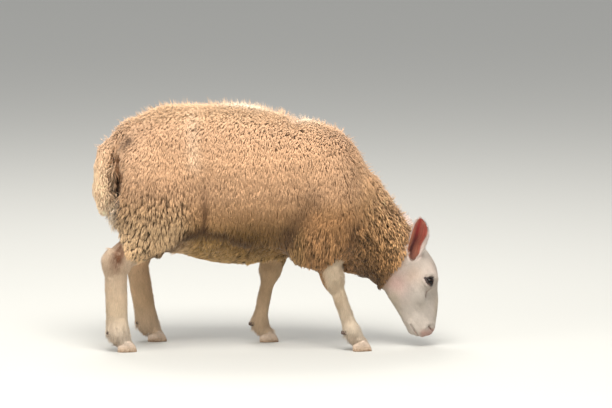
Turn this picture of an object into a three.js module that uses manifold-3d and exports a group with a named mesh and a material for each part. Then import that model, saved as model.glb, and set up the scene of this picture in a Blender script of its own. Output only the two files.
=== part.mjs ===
// A woolled lamb, life size, standing and grazing with its head down.
//
// Frame: millimetres, +X towards the head, +Y to the lamb's left, +Z up. The origin is on the
// floor, under the middle of the bounding box: the places below are measured from a point of
// the floor close to it, and the last lines move the finished lamb over the origin.
//
// The flesh and its coat are one smooth volume, built up from named lumps that melt into each
// other, as a sculptor builds up clay. The volume is meshed on a grid, and thin cuts part it
// into the trunk, neck, head, tail and legs. Ears, eyes, hooves and dewclaws are solids of
// their own. The surface is the outside of the coat, out to the tips of the wool.
import * as THREE from "three";
import { mergeVertices } from "three/addons/utils/BufferGeometryUtils.js";
import Module from "manifold-3d";

const wasm = await Module();
wasm.setup();

// ---------------------------------------------------------------------------
// Driving dimensions, in millimetres and degrees
// ---------------------------------------------------------------------------

const GAP = 0.5; // the width of a cut between neighbouring solids
const ROOM = 1; // around a solid that is set into the coarser mesh of another
const SIDES = { left: 1, right: -1 };

// Grid sizes of the meshes: coarse on the fleece, finer where the form is small.
const TRUNK_CELL = 37;
const NECK_CELL = 29;
const LIMB_CELL = 28;
const TAIL_CELL = 22;
const HEAD_CELL = 12.5;
const SHANK_CELL = 17.5;

// How softly lumps melt into each other.
const FLEECE_BLEND = 55;
const LIMB_BLEND = 30;
const FACE_BLEND = 16;

// Trunk lumps: centre, then half sizes along, across and up.
const RUMP = { at: [-218, 0, 416], radii: [150, 138, 172] };
const BARREL = { at: [-66, 0, 397], radii: [236, 159, 198] };
const CHEST = { at: [100, 0, 389], radii: [172, 136, 157] };
const WITHERS = { at: [152, 0, 436], radii: [78, 70, 104] };
const BRISKET = { at: [205, 0, 282], radii: [72, 82, 104] };
const SHOULDER = { at: [158, 72, 335], radii: [88, 68, 118] };
const ELBOW = { at: [112, 88, 262], radii: [58, 46, 62] };

// The neck runs from the shoulders down to the poll, and is narrower than it is deep.
const NECK_BASE = { at: [202, 0, 332], radius: 114 };
const NECK_END = { at: [315, 0, 216], radius: 78 };
const NECK_FLATTEN = 0.78;

// Where the thin cuts part the neck from the trunk and from the head.
const NECK_CUT = { at: [226, 0, 330], lean: 5 };
const HEAD_CUT = { at: [322, 0, 215], lean: 22 };

// The tail hangs from the croup, close behind the thighs.
const TAIL_ROOT = { at: [-296, 0, 508], radius: 56 };
const TAIL_BEND = { at: [-362, 0, 440], radius: 40 };
const TAIL_MIDDLE = { at: [-372, 0, 385], radius: 32 };
const TAIL_TIP = { at: [-369, 0, 337], radius: 25 };

// Head, in a frame of its own: along the face from the poll to the nose, up from the face
// towards the forehead, and across. The face hangs almost straight down.
const POLL = [368, 0, 236];
const FACE_TILT = 3.5;
const HEAD_LUMPS = [
  { name: "braincase", at: [42, -4, 0], radii: [54, 50, 45] },
  { name: "forehead", at: [66, 22, 0], radii: [42, 34, 38] },
  { name: "nose bridge", at: [120, 21, 0], radii: [66, 34, 23] },
  { name: "muzzle", at: [172, 13, 0], radii: [38, 31, 24] },
  { name: "nose tip", at: [194, 16, 0], radii: [19, 22, 22] },
  { name: "throat", at: [64, -38, 0], radii: [50, 46, 40] },
];
const PAIRED_HEAD_LUMPS = [
  { name: "brow", at: [66, 33, 33], radii: [26, 19, 15] },
  { name: "cheek bone", at: [100, 8, 30], radii: [34, 20, 16] },
  { name: "cheek", at: [88, -24, 24], radii: [50, 40, 23] },
  { name: "side of the nose", at: [142, -2, 10], radii: [46, 30, 18] },
  { name: "upper lip", at: [184, 4, 11], radii: [24, 17, 15] },
];
const JAW_ANGLE = { at: [98, -46, 17], radius: 26 };
const CHIN = { at: [190, -12, 5], radius: 14 };

// Eyes, in the head frame.
const EYE = { at: [76, 31, 42], radius: 12.5 };

// Ears: a cupped leaf that stands on the side of the poll.
const EAR = { length: 120, width: 46, thickness: 5, cup: 13, base: 14, bow: 9, rows: 9, columns: 6 };
const EAR_SEAT = [24, -11, 38];
const EAR_POSE = {
  right: { lean: 12, splay: 20, turn: 12 },
  left: { lean: -14, splay: 24, turn: -10 },
};

// Forelegs, from the foot up: where the hoof stands, then each joint.
const FORELEGS = {
  right: { hoof: [246, 74], fetlock: [219, 48], knee: [173, 178], elbow: [128, 290] },
  left: { hoof: [22, 74], fetlock: [-4, 48], knee: [23, 178], elbow: [66, 300] },
};
const FORE_GAUGE = { elbow: 46, knee: 26, cannon: 18.5, fetlock: 20.5, pastern: 17 };

// Hind legs, from the foot up.
const HINDLEGS = {
  right: { hoof: [-316, 88], fetlock: [-342, 50], hock: [-346, 214], stifle: [-196, 326] },
  left: { hoof: [-249, 82], fetlock: [-277, 50], hock: [-304, 214], stifle: [-160, 326] },
};
const HIND_GAUGE = { stifle: 66, hock: 31, cannon: 27.5, fetlock: 25, pastern: 19 };
const HOCK_POINT = { back: 11, up: 16, radii: [19, 17, 26] };
const THIGH = { at: [-232, 88, 358], radii: [108, 76, 120] };
const BUTTOCK = { at: [-282, 62, 392], radii: [64, 66, 118] };

// Hooves: two claws to a foot, with the coronet sloping down to the heel. A claw lies behind
// and ahead of the foot's place by behind and the rest of its length, and worn is what the
// floor takes off its rounded underside, to leave a flat sole.
const CLAW = {
  ...{ length: 46, width: 19, toeHeight: 26, heelHeight: 14, toeSlope: 20, toeBulge: 6 },
  ...{ bevel: 3, spread: 11.5, behind: 25.3, worn: 1.2 },
};
const CORONET = { height: 30, slope: 24 };
const DEWCLAW = { radius: 6.5, tip: 3.3, length: 13, apart: 10, back: 20, drop: 4, droop: 125 };

// Arched blocks that take each upper leg from the trunk.
const FORE_BLOCKS = {
  right: { rear: 58, front: 205, frontFoot: 205, spring: 262, rise: 46, foot: 100, inner: 24 },
  left: { rear: -16, front: 132, frontFoot: 132, spring: 262, rise: 46, foot: 100, inner: 24 },
};
const HIND_BLOCK = {
  ...{ rear: -440, front: -120, frontFoot: -286 },
  ...{ spring: 316, rise: 68, foot: 170, inner: 24 },
};

// The hem of the wool on each leg, where upper leg and lower leg part. It slopes up to the front.
const HEMS = {
  fore: { joint: "knee", above: 27, slope: { right: 22, left: 6 } },
  hind: { joint: "hock", above: 14, slope: { right: -26, left: -26 } },
};

const FLEECE_COLOUR = 0xd9b98c;
const FACE_COLOUR = 0xeae2da;
const EAR_COLOUR = 0xe3b9ac;
const EYE_COLOUR = 0x1a1410;
const HORN_COLOUR = 0x6e6254;

// ---------------------------------------------------------------------------
// Distance functions: each takes x, y, z and says how far outside the lump they are
// ---------------------------------------------------------------------------

const radians = THREE.MathUtils.degToRad;

function ellipsoid([cx, cy, cz], [rx, ry, rz]) {
  return (x, y, z) => {
    const a = (x - cx) / rx;
    const b = (y - cy) / ry;
    const c = (z - cz) / rz;
    const reach = Math.hypot(a, b, c);
    const slope = Math.hypot(a / rx, b / ry, c / rz);
    return slope < 1e-9 ? -Math.min(rx, ry, rz) : (reach * (reach - 1)) / slope;
  };
}

// A tapered rod with round ends. flatten under 1 narrows it across, about its own middle.
function taperedRod(from, to, flatten = 1) {
  const [ax, ay, az] = from.at;
  const along = [to.at[0] - ax, (to.at[1] - ay) / flatten, to.at[2] - az];
  const squared = along[0] ** 2 + along[1] ** 2 + along[2] ** 2;
  return (x, y, z) => {
    const p = [x - ax, (y - ay) / flatten, z - az];
    const dot = p[0] * along[0] + p[1] * along[1] + p[2] * along[2];
    const t = THREE.MathUtils.clamp(dot / squared, 0, 1);
    const radius = from.radius + (to.radius - from.radius) * t;
    return Math.hypot(p[0] - along[0] * t, p[1] - along[1] * t, p[2] - along[2] * t) - radius;
  };
}

function melt(a, b, softness) {
  const h = Math.max(softness - Math.abs(a - b), 0) / softness;
  return Math.min(a, b) - (h * h * softness) / 4;
}

function melted(lumps, softness) {
  return (x, y, z) => lumps.reduce((near, lump) => melt(near, lump(x, y, z), softness), 1e6);
}

const mirrored = ([x, y, z], side) => [x, y * side, z];
const onSide = (lump, side) => ellipsoid(mirrored(lump.at, side), lump.radii);

// ---------------------------------------------------------------------------
// The head's own frame
// ---------------------------------------------------------------------------

const tilt = radians(FACE_TILT);
const FACE_DOWN = new THREE.Vector3(Math.sin(tilt), 0, -Math.cos(tilt));
const FACE_OUT = new THREE.Vector3(Math.cos(tilt), 0, Math.sin(tilt));

// A point of the head frame, in the lamb's frame.
function headPoint([down, out, across]) {
  const p = new THREE.Vector3(...POLL);
  p.addScaledVector(FACE_DOWN, down).addScaledVector(FACE_OUT, out);
  return [p.x, across, p.z];
}

function inHeadFrame(lump) {
  return (x, y, z) => {
    const dx = x - POLL[0];
    const dz = z - POLL[2];
    return lump(dx * FACE_DOWN.x + dz * FACE_DOWN.z, dx * FACE_OUT.x + dz * FACE_OUT.z, y);
  };
}

function headLumps() {
  const lumps = HEAD_LUMPS.map((lump) => ellipsoid(lump.at, lump.radii));
  for (const side of Object.values(SIDES)) {
    for (const { at, radii } of PAIRED_HEAD_LUMPS) {
      lumps.push(ellipsoid([at[0], at[1], at[2] * side], radii));
    }
    const [angle, chin] = [JAW_ANGLE, CHIN].map(({ at, radius }) => ({
      at: [at[0], at[1], at[2] * side],
      radius,
    }));
    lumps.push(taperedRod(angle, chin));
  }
  return lumps;
}

// ---------------------------------------------------------------------------
// The whole volume
// ---------------------------------------------------------------------------

// A leg is a list of joints from the top down, each with a place and a radius.
function legJoint(pose, gauge, name, side) {
  const [x, z] = pose[name];
  return { at: [x, pose.hoof[1] * side, z], radius: gauge[name] };
}

function foreleg(pose, side) {
  const [elbow, knee, fetlock] = ["elbow", "knee", "fetlock"].map((name) =>
    legJoint(pose, FORE_GAUGE, name, side),
  );
  const cannon = FORE_GAUGE.cannon;
  const coronet = { at: [pose.hoof[0] - 8, knee.at[1], 18], radius: FORE_GAUGE.pastern };
  const forearm = taperedRod(elbow, knee, 0.95);
  const shank = melted(
    [
      forearm,
      taperedRod({ ...knee, radius: cannon }, { ...fetlock, radius: cannon }, 0.92),
      ellipsoid(knee.at, [knee.radius, knee.radius - 1, knee.radius + 8]),
      taperedRod(fetlock, coronet),
    ],
    14,
  );
  return { upper: forearm, lower: shank };
}

function hindleg(pose, side) {
  const [stifle, hock, fetlock] = ["stifle", "hock", "fetlock"].map((name) =>
    legJoint(pose, HIND_GAUGE, name, side),
  );
  const cannon = HIND_GAUGE.cannon;
  const coronet = { at: [pose.hoof[0] - 8, hock.at[1], 20], radius: HIND_GAUGE.pastern };
  const { back, up, radii } = HOCK_POINT;
  const point = ellipsoid([hock.at[0] - back, hock.at[1], hock.at[2] + up], radii);
  const gaskin = melted([taperedRod(stifle, hock, 0.9), point], 16);
  const shank = melted(
    [
      gaskin,
      taperedRod({ ...hock, radius: cannon + 1 }, { ...fetlock, radius: cannon }, 0.84),
      taperedRod(fetlock, coronet),
    ],
    16,
  );
  return { upper: gaskin, lower: shank };
}

const LEGS = { fore: FORELEGS, hind: HINDLEGS };
const limbs = { fore: {}, hind: {} };
for (const [name, side] of Object.entries(SIDES)) {
  limbs.fore[name] = foreleg(FORELEGS[name], side);
  limbs.hind[name] = hindleg(HINDLEGS[name], side);
}

const core = melted(
  [RUMP, BARREL, CHEST, WITHERS, BRISKET].map((lump) => ellipsoid(lump.at, lump.radii)),
  FLEECE_BLEND,
);
const quarters = melted(
  [
    ...Object.values(SIDES).flatMap((side) =>
      [THIGH, BUTTOCK, SHOULDER, ELBOW].map((lump) => onSide(lump, side)),
    ),
    ...Object.keys(SIDES).flatMap((name) => [limbs.fore[name].upper, limbs.hind[name].upper]),
  ],
  LIMB_BLEND,
);
const neck = taperedRod(NECK_BASE, NECK_END, NECK_FLATTEN);
const skull = inHeadFrame(melted(headLumps(), FACE_BLEND));

// All of the lamb above the knees and hocks, but for its tail and ears.
function body(x, y, z) {
  const fleece = melt(melt(core(x, y, z), quarters(x, y, z), LIMB_BLEND), neck(x, y, z), LIMB_BLEND);
  return melt(fleece, skull(x, y, z), FACE_BLEND);
}

const swollen = (distance) => (x, y, z) => distance(x, y, z) - ROOM;

const tail = melted(
  [
    taperedRod(TAIL_ROOT, TAIL_BEND),
    taperedRod(TAIL_BEND, TAIL_MIDDLE),
    taperedRod(TAIL_MIDDLE, TAIL_TIP),
  ],
  20,
);

// ---------------------------------------------------------------------------
// Meshing: surface nets, with each vertex then drawn onto the surface itself
// ---------------------------------------------------------------------------

function onSurface(distance, point) {
  const step = 0.5;
  for (let round = 0; round < 4; round++) {
    const [x, y, z] = point;
    const value = distance(x, y, z);
    const slope = [
      (distance(x + step, y, z) - distance(x - step, y, z)) / (2 * step),
      (distance(x, y + step, z) - distance(x, y - step, z)) / (2 * step),
      (distance(x, y, z + step) - distance(x, y, z - step)) / (2 * step),
    ];
    const squared = slope[0] ** 2 + slope[1] ** 2 + slope[2] ** 2;
    if (squared < 1e-6) {
      break;
    }
    const pull = THREE.MathUtils.clamp(value / squared, -4, 4);
    slope.forEach((s, i) => (point[i] -= pull * s));
  }
  return point;
}

const CORNERS = [0, 1, 2, 3, 4, 5, 6, 7];
const stepTo = (c, strides) => (c & 1) + ((c >> 1) & 1) * strides[1] + (c >> 2) * strides[2];

// A cell's twelve edges are numbered by their direction and by which of four corners they leave.
function edgeName(corner, axis) {
  const u = (corner >> (axis + 1) % 3) & 1;
  const v = (corner >> (axis + 2) % 3) & 1;
  return axis * 4 + u * 2 + v;
}

// Groups a cell's crossed edges into sheets: on each face, the two crossings at the ends of a
// run of inner corners belong together.
function sheetsIn(sample) {
  const crossed = new Map();
  for (const c of CORNERS) {
    for (let axis = 0; axis < 3; axis++) {
      const other = c | (1 << axis);
      if (other !== c && sample[c] < 0 !== sample[other] < 0) {
        crossed.set(edgeName(c, axis), { edge: [c, axis], group: edgeName(c, axis) });
      }
    }
  }
  const join = (a, b) => {
    const [keep, drop] = [crossed.get(a).group, crossed.get(b).group];
    crossed.forEach((entry) => (entry.group = entry.group === drop ? keep : entry.group));
  };
  for (let axis = 0; axis < 3 && crossed.size; axis++) {
    const u = 1 << (axis + 1) % 3;
    const v = 1 << (axis + 2) % 3;
    for (const base of [0, 1 << axis]) {
      const ring = [base, base | u, base | u | v, base | v];
      ring.forEach((corner, n) => {
        if (sample[corner] >= 0 || sample[ring[(n + 3) % 4]] < 0) {
          return;
        }
        let last = n;
        while (sample[ring[(last + 1) % 4]] < 0) {
          last++;
        }
        join(ringEdge(ring, n + 3), ringEdge(ring, last));
      });
    }
  }
  const sheets = new Map();
  crossed.forEach(({ edge, group }) => sheets.set(group, [...(sheets.get(group) ?? []), edge]));
  return sheets.values();
}

// The edge between two neighbouring corners of a face.
function ringEdge(ring, n) {
  const [a, b] = [ring[n % 4], ring[(n + 1) % 4]];
  return edgeName(a & b, Math.log2(a ^ b));
}

function middleOf(sheet, sample) {
  const sum = [0, 0, 0];
  for (const [c, axis] of sheet) {
    const t = sample[c] / (sample[c] - sample[c | (1 << axis)]);
    sum.forEach((_, n) => (sum[n] += ((c >> n) & 1) + (n === axis ? t : 0)));
  }
  return sum.map((v) => v / sheet.length);
}

// The closed surface of a distance function inside a box, as a manifold-3d solid.
function meshed(distance, low, high, cell) {
  const count = low.map((v, i) => Math.ceil((high[i] - v) / cell) + 1);
  const strides = [1, count[0], count[0] * count[1]];
  const values = new Float64Array(count[0] * count[1] * count[2]);
  const outer = (i, axis) => i === 0 || i === count[axis] - 1;
  for (let k = 0; k < count[2]; k++) {
    for (let j = 0; j < count[1]; j++) {
      for (let i = 0; i < count[0]; i++) {
        const at = i + j * strides[1] + k * strides[2];
        const value = distance(low[0] + i * cell, low[1] + j * cell, low[2] + k * cell);
        const edge = outer(i, 0) || outer(j, 1) || outer(k, 2);
        values[at] = edge ? Math.max(value, cell / 8) : value;
      }
    }
  }

  // In each cell, one vertex for each sheet of surface in it, at the middle of its crossings.
  const positions = [];
  const vertexOf = new Map();
  for (let k = 0; k < count[2] - 1; k++) {
    for (let j = 0; j < count[1] - 1; j++) {
      for (let i = 0; i < count[0] - 1; i++) {
        const at = i + j * strides[1] + k * strides[2];
        const sample = CORNERS.map((c) => values[at + stepTo(c, strides)]);
        for (const sheet of sheetsIn(sample)) {
          const middle = middleOf(sheet, sample).map((v, n) => low[n] + ([i, j, k][n] + v) * cell);
          for (const [c, axis] of sheet) {
            vertexOf.set(12 * at + edgeName(c, axis), positions.length / 3);
          }
          positions.push(...onSurface(distance, middle));
        }
      }
    }
  }

  // One quad round each grid edge that the surface crosses.
  const faces = [];
  for (let k = 0; k < count[2] - 1; k++) {
    for (let j = 0; j < count[1] - 1; j++) {
      for (let i = 0; i < count[0] - 1; i++) {
        const at = i + j * strides[1] + k * strides[2];
        for (let axis = 0; axis < 3; axis++) {
          const inside = values[at] < 0;
          if (inside === values[at + strides[axis]] < 0) {
            continue;
          }
          const u = 1 << (axis + 1) % 3;
          const v = 1 << (axis + 2) % 3;
          const ring = [0, u, u | v, v].map((corner) =>
            vertexOf.get(12 * (at - stepTo(corner, strides)) + edgeName(corner, axis)),
          );
          const [a, b, c, d] = inside ? ring : ring.reverse();
          faces.push(...splitQuad(positions, a, b, c, d));
        }
      }
    }
  }
  return solidFrom(new Float32Array(positions), new Uint32Array(faces));
}

// Two triangles along the quad's shorter diagonal.
function splitQuad(positions, a, b, c, d) {
  const at = (n) => new THREE.Vector3().fromArray(positions, n * 3);
  const shorter = at(a).distanceTo(at(c)) < at(b).distanceTo(at(d));
  return shorter ? [a, b, c, a, c, d] : [b, c, d, b, d, a];
}

function solidFrom(vertProperties, triVerts) {
  return new wasm.Manifold(new wasm.Mesh({ numProp: 3, vertProperties, triVerts }));
}

function solidOf(geometry) {
  const bare = geometry.index ? geometry.toNonIndexed() : geometry.clone();
  bare.deleteAttribute("normal");
  bare.deleteAttribute("uv");
  const merged = mergeVertices(bare, 1e-3);
  return solidFrom(merged.attributes.position.array, new Uint32Array(merged.index.array));
}

function geometryOf(solid) {
  const mesh = solid.getMesh();
  const positions = new Float32Array(mesh.numVert * 3);
  for (let i = 0; i < mesh.numVert; i++) {
    positions.set(mesh.vertProperties.subarray(i * mesh.numProp, i * mesh.numProp + 3), i * 3);
  }
  const geometry = new THREE.BufferGeometry();
  geometry.setAttribute("position", new THREE.BufferAttribute(positions, 3));
  geometry.setIndex(new THREE.BufferAttribute(mesh.triVerts, 1));
  return geometry;
}

// ---------------------------------------------------------------------------
// Cuts
// ---------------------------------------------------------------------------

// The part of a solid in front of a plane that leans back by some degrees, or behind it.
function trimmed(solid, cut, towards, clearance) {
  const lean = radians(cut.lean);
  const normal = [Math.cos(lean) * towards, 0, -Math.sin(lean) * towards];
  const offset = normal[0] * cut.at[0] + normal[2] * cut.at[2];
  return solid.trimByPlane(normal, offset + clearance);
}

// The part of a solid above a leg's hem, or below it.
function hemmed(solid, kind, name, upwards, clearance) {
  const { joint, above, slope } = HEMS[kind];
  const [x, z] = LEGS[kind][name][joint];
  const lean = radians(slope[name]);
  const normal = [-Math.sin(lean) * upwards, 0, Math.cos(lean) * upwards];
  return solid.trimByPlane(normal, normal[0] * x + normal[2] * (z + above) + clearance);
}

// An arched block, standing over one leg, that takes the leg from the trunk. Its front foot
// can lie further back than its front shoulder, as the fold of the flank does.
function legBlock({ rear, front, frontFoot, spring, rise, foot, inner }, side, grow) {
  const shape = new THREE.Shape();
  const middle = (rear + front) / 2;
  shape.moveTo(rear - grow, foot);
  shape.lineTo(frontFoot + grow, foot);
  shape.lineTo(front + grow, spring);
  shape.absellipse(middle, spring, (front - rear) / 2 + grow, rise + grow, 0, Math.PI, false, 0);
  shape.closePath();
  const reach = 300;
  const block = new THREE.ExtrudeGeometry(shape, {
    depth: reach,
    bevelEnabled: false,
    curveSegments: 10,
  });
  block.rotateX(Math.PI / 2);
  block.translate(0, side > 0 ? reach + inner - grow : grow - inner, 0);
  return solidOf(block);
}

// ---------------------------------------------------------------------------
// Ears, eyes and feet
// ---------------------------------------------------------------------------

// A cupped leaf along +Z, hollow towards -Y, that closes into a stalk at its root and bows
// sideways by bow halfway up.
function earLeaf(bow) {
  const { rows, columns } = EAR;
  const ring = columns * 2;
  const positions = [];
  for (let row = 0; row <= rows; row++) {
    const t = row / rows;
    const widened = Math.sin((Math.min(t / 0.55, 1) * Math.PI) / 2);
    const taper = t < 0.55 ? 1 : Math.sqrt(Math.max(1 - ((t - 0.55) / 0.45) ** 2.2, 0));
    const half = Math.max((EAR.base + (EAR.width / 2 - EAR.base) * widened) * taper, 2.2);
    const cup = EAR.cup * (1 - 0.55 * t) * Math.min(1, taper + 0.2);
    const opened = THREE.MathUtils.smoothstep(t, 0.05, 0.35);
    for (let n = 0; n < ring; n++) {
      const back = n < columns;
      const s = back ? (2 * n) / (columns - 1) - 1 : 1 - (2 * (n - columns)) / (columns - 1);
      const hollow = back ? 1 : opened * 2 - 1;
      const wall = back ? EAR.thickness * (1 - 0.6 * s * s) : 0;
      const sideways = bow * Math.sin(Math.PI * t);
      positions.push(half * s + sideways, cup * (1 - s * s) * hollow + wall, EAR.length * t);
    }
  }
  const faces = [];
  for (let row = 0; row < rows; row++) {
    for (let n = 0; n < ring; n++) {
      const next = (n + 1) % ring;
      const [a, b] = [row * ring + n, row * ring + next];
      faces.push(a, a + ring, b, b, a + ring, b + ring);
    }
  }
  for (let n = 1; n < ring - 1; n++) {
    faces.push(0, n, n + 1);
    const last = rows * ring;
    faces.push(last, last + n + 1, last + n);
  }
  const leaf = new THREE.BufferGeometry();
  leaf.setAttribute("position", new THREE.BufferAttribute(new Float32Array(positions), 3));
  leaf.setIndex(faces);
  return leaf;
}

function ear(name) {
  const side = SIDES[name];
  const pose = EAR_POSE[name];
  const leaf = earLeaf(-EAR.bow * side);
  // Hollow side outwards, then leaned forward and splayed away from the head.
  leaf.rotateZ(side > 0 ? Math.PI : 0);
  leaf.rotateZ(radians(pose.turn));
  leaf.rotateX(-radians(pose.splay) * side);
  leaf.rotateY(radians(pose.lean));
  leaf.translate(...headPoint([EAR_SEAT[0], EAR_SEAT[1], EAR_SEAT[2] * side]));
  return solidOf(leaf);
}

function eyeball(side, radius) {
  const ball = new THREE.SphereGeometry(radius, 12, 8);
  ball.translate(...headPoint([EYE.at[0], EYE.at[1], EYE.at[2] * side]));
  return solidOf(ball);
}

// One claw: a side outline, extruded across with rounded edges, then cut flat underneath.
function claw(x, y) {
  const { length, width, toeHeight, heelHeight, toeSlope, toeBulge, bevel } = CLAW;
  const outline = new THREE.Shape();
  outline.moveTo(bevel, bevel);
  outline.lineTo(length - bevel, bevel);
  outline.quadraticCurveTo(length - toeBulge, toeHeight * 0.6, length - toeSlope, toeHeight);
  outline.lineTo(bevel, heelHeight);
  outline.closePath();
  const solid = new THREE.ExtrudeGeometry(outline, {
    depth: width - 2 * bevel,
    bevelThickness: bevel,
    bevelSize: bevel,
    bevelSegments: 1,
    curveSegments: 3,
  });
  solid.rotateX(Math.PI / 2);
  solid.translate(x - CLAW.behind, y + width / 2 - bevel, -CLAW.worn);
  return solidOf(solid).trimByPlane([0, 0, 1], 0);
}

// A short cone behind the fetlock, pointing back and down.
function dewclaw([x, z], y, grow) {
  const { tip, radius, length } = DEWCLAW;
  const cone = new THREE.CylinderGeometry(tip + grow, radius + grow, length + 2 * grow, 8);
  cone.rotateZ(radians(DEWCLAW.droop));
  cone.translate(x - DEWCLAW.back, y, z - DEWCLAW.drop);
  return solidOf(cone);
}

// ---------------------------------------------------------------------------
// Assembly
// ---------------------------------------------------------------------------

const lamb = new THREE.Group();

function addNode(name, solid, colour, roughness) {
  const material = new THREE.MeshStandardMaterial({ color: colour, roughness, metalness: 0 });
  const mesh = new THREE.Mesh(geometryOf(solid), material);
  mesh.name = name;
  lamb.add(mesh);
}

const largest = (solid) => solid.decompose().sort((a, b) => b.volume() - a.volume())[0];

// Everything above the knees and hocks, parted by the leg blocks and the two neck cuts.
function buildBody(shanks) {
  const [low, high] = [[-420, -190, 150], [460, 190, 615]];
  const collar = trimmed(meshed(body, low, high, NECK_CELL), NECK_CUT, 1, GAP / 2);
  const neckOnly = trimmed(collar, HEAD_CUT, -1, GAP / 2);
  addNode("neck", largest(neckOnly.subtract(shanks)), FLEECE_COLOUR, 1);
  let trunk = trimmed(meshed(body, low, high, TRUNK_CELL), NECK_CUT, -1, GAP / 2);
  trunk = trunk.subtract(shanks);
  for (const [name, side] of Object.entries(SIDES)) {
    for (const [kind, block] of [["fore", FORE_BLOCKS[name]], ["hind", HIND_BLOCK]]) {
      const limbLow = [block.rear - 40, side > 0 ? 0 : -190, 140];
      const limbHigh = [block.front + 40, side > 0 ? 190 : 0, block.spring + block.rise + 40];
      const limb = meshed(body, limbLow, limbHigh, LIMB_CELL).intersect(legBlock(block, side, -GAP));
      const upper = trimmed(hemmed(limb, kind, name, 1, 0), NECK_CUT, -1, GAP / 2);
      addNode(kind + "leg_" + name + "_upper", largest(upper), FLEECE_COLOUR, 1);
      trunk = trunk.subtract(legBlock(block, side, 0));
    }
  }
  addNode("trunk", largest(trunk), FLEECE_COLOUR, 1);
}

function buildTail() {
  const rump = meshed(swollen(body), [-420, -120, 250], [-200, 120, 610], TAIL_CELL);
  const whole = meshed(tail, [-430, -60, 280], [-260, 60, 560], TAIL_CELL);
  addNode("tail", largest(whole.subtract(rump)), FLEECE_COLOUR, 1);
}

function buildHead() {
  const [low, high] = [[270, -100, 5], [450, 100, 290]];
  let head = trimmed(meshed(body, low, high, HEAD_CELL), HEAD_CUT, 1, GAP / 2);
  const wide = meshed(swollen(body), low, high, HEAD_CELL);
  for (const [name, side] of Object.entries(SIDES)) {
    head = head.subtract(eyeball(side, EYE.radius + GAP));
    addNode("eye_" + name, eyeball(side, EYE.radius), EYE_COLOUR, 0.1);
    addNode("ear_" + name, largest(ear(name).subtract(wide)), EAR_COLOUR, 0.8);
  }
  addNode("head", largest(head), FACE_COLOUR, 0.9);
}

// The knee or hock, the cannon and the pastern, with two claws and two dewclaws. Returns a
// slightly swollen copy, for cutting room for it out of the fleece.
function buildShank(kind, name) {
  const side = SIDES[name];
  const pose = LEGS[kind][name];
  const shape = limbs[kind][name].lower;
  const [x, across] = pose.hoof;
  const y = across * side;
  const [topX, topZ] = pose[HEMS[kind].joint];
  const reach = 80;
  const low = [Math.min(x, topX) - reach, y - reach, 5];
  const high = [Math.max(x, topX) + reach, y + reach, topZ + reach];
  let shank = hemmed(meshed(shape, low, high, SHANK_CELL), kind, name, -1, GAP);
  const room = hemmed(meshed(swollen(shape), low, high, SHANK_CELL), kind, name, -1, 0);
  const slope = radians(CORONET.slope);
  const up = [-Math.sin(slope), 0, Math.cos(slope)];
  const coronet = up[0] * x + up[2] * CORONET.height;
  shank = shank.trimByPlane(up, coronet + GAP / 2);
  const down = up.map((v) => -v);
  for (const [place, outward] of Object.entries({ outer: side, inner: -side })) {
    const tag = kind + "_" + name + "_" + place;
    const toe = claw(x, y + outward * CLAW.spread).trimByPlane(down, GAP / 2 - coronet);
    addNode("hoof_" + tag, toe, HORN_COLOUR, 0.6);
    const [spur, socket] = [0, GAP].map((grow) =>
      dewclaw(pose.fetlock, y + outward * DEWCLAW.apart, grow),
    );
    shank = shank.subtract(socket);
    addNode("dewclaw_" + tag, spur, HORN_COLOUR, 0.6);
  }
  addNode(kind + "leg_" + name + "_lower", largest(shank), FACE_COLOUR, 0.9);
  return room;
}

const shanks = Object.keys(SIDES).flatMap((name) => [
  buildShank("fore", name),
  buildShank("hind", name),
]);
buildBody(wasm.Manifold.union(shanks));
buildTail();
buildHead();

// The origin goes to the floor, under the middle of the bounding box.
const box = new THREE.Box3().setFromObject(lamb);
const middle = box.getCenter(new THREE.Vector3());
lamb.children.forEach((mesh) => mesh.position.set(-middle.x, -middle.y, -box.min.z));

export default lamb;
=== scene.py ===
"""A woolled lamb, life size, grazing with its head down: skin, coat, eyes and feet.

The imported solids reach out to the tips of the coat. One skin is cast from them, drawn in by the
depth of the coat and sculpted on the head. The fleece and the short hair are tufts rooted in it.
Everything is in metres, in the frame of the solids: +X towards the head, +Y to the lamb's left.
"""

import math

import bmesh
import bpy
import numpy as np
from mathutils import Matrix, Vector
from mathutils.bvhtree import BVHTree
from mathutils.kdtree import KDTree


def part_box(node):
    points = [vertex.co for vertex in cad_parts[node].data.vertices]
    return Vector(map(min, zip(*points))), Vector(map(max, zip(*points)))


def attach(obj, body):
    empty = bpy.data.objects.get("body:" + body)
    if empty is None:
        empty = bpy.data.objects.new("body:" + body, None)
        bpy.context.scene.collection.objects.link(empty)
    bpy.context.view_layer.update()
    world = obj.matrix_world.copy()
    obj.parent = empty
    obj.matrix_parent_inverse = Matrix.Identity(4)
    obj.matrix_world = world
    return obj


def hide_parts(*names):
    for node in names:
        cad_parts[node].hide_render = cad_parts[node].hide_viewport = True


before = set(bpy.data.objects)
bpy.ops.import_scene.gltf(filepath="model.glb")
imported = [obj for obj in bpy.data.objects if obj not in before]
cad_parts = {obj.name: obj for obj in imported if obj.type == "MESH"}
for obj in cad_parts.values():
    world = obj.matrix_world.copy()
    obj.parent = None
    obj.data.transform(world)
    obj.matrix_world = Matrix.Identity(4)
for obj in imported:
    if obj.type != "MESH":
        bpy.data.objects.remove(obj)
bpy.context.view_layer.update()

MM = 0.001
SIDES = {"left": 1, "right": -1}
rng = np.random.default_rng(7)

# --- Small tools ---


def smooth(values, low, high):
    """0 below low, 1 above high, and a soft step between them."""
    t = np.clip((values - low) / (high - low), 0, 1)
    return t * t * (3 - 2 * t)


def bell(distance, reach):
    return np.exp(-((distance / reach) ** 2))


def away(points, place):
    return np.linalg.norm(points - place, axis=1)


def unit(vectors):
    return vectors / np.maximum(np.linalg.norm(vectors, axis=-1, keepdims=True), 1e-12)


def box_of(node):
    low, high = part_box(node)
    return np.array(low), np.array(high)


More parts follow.
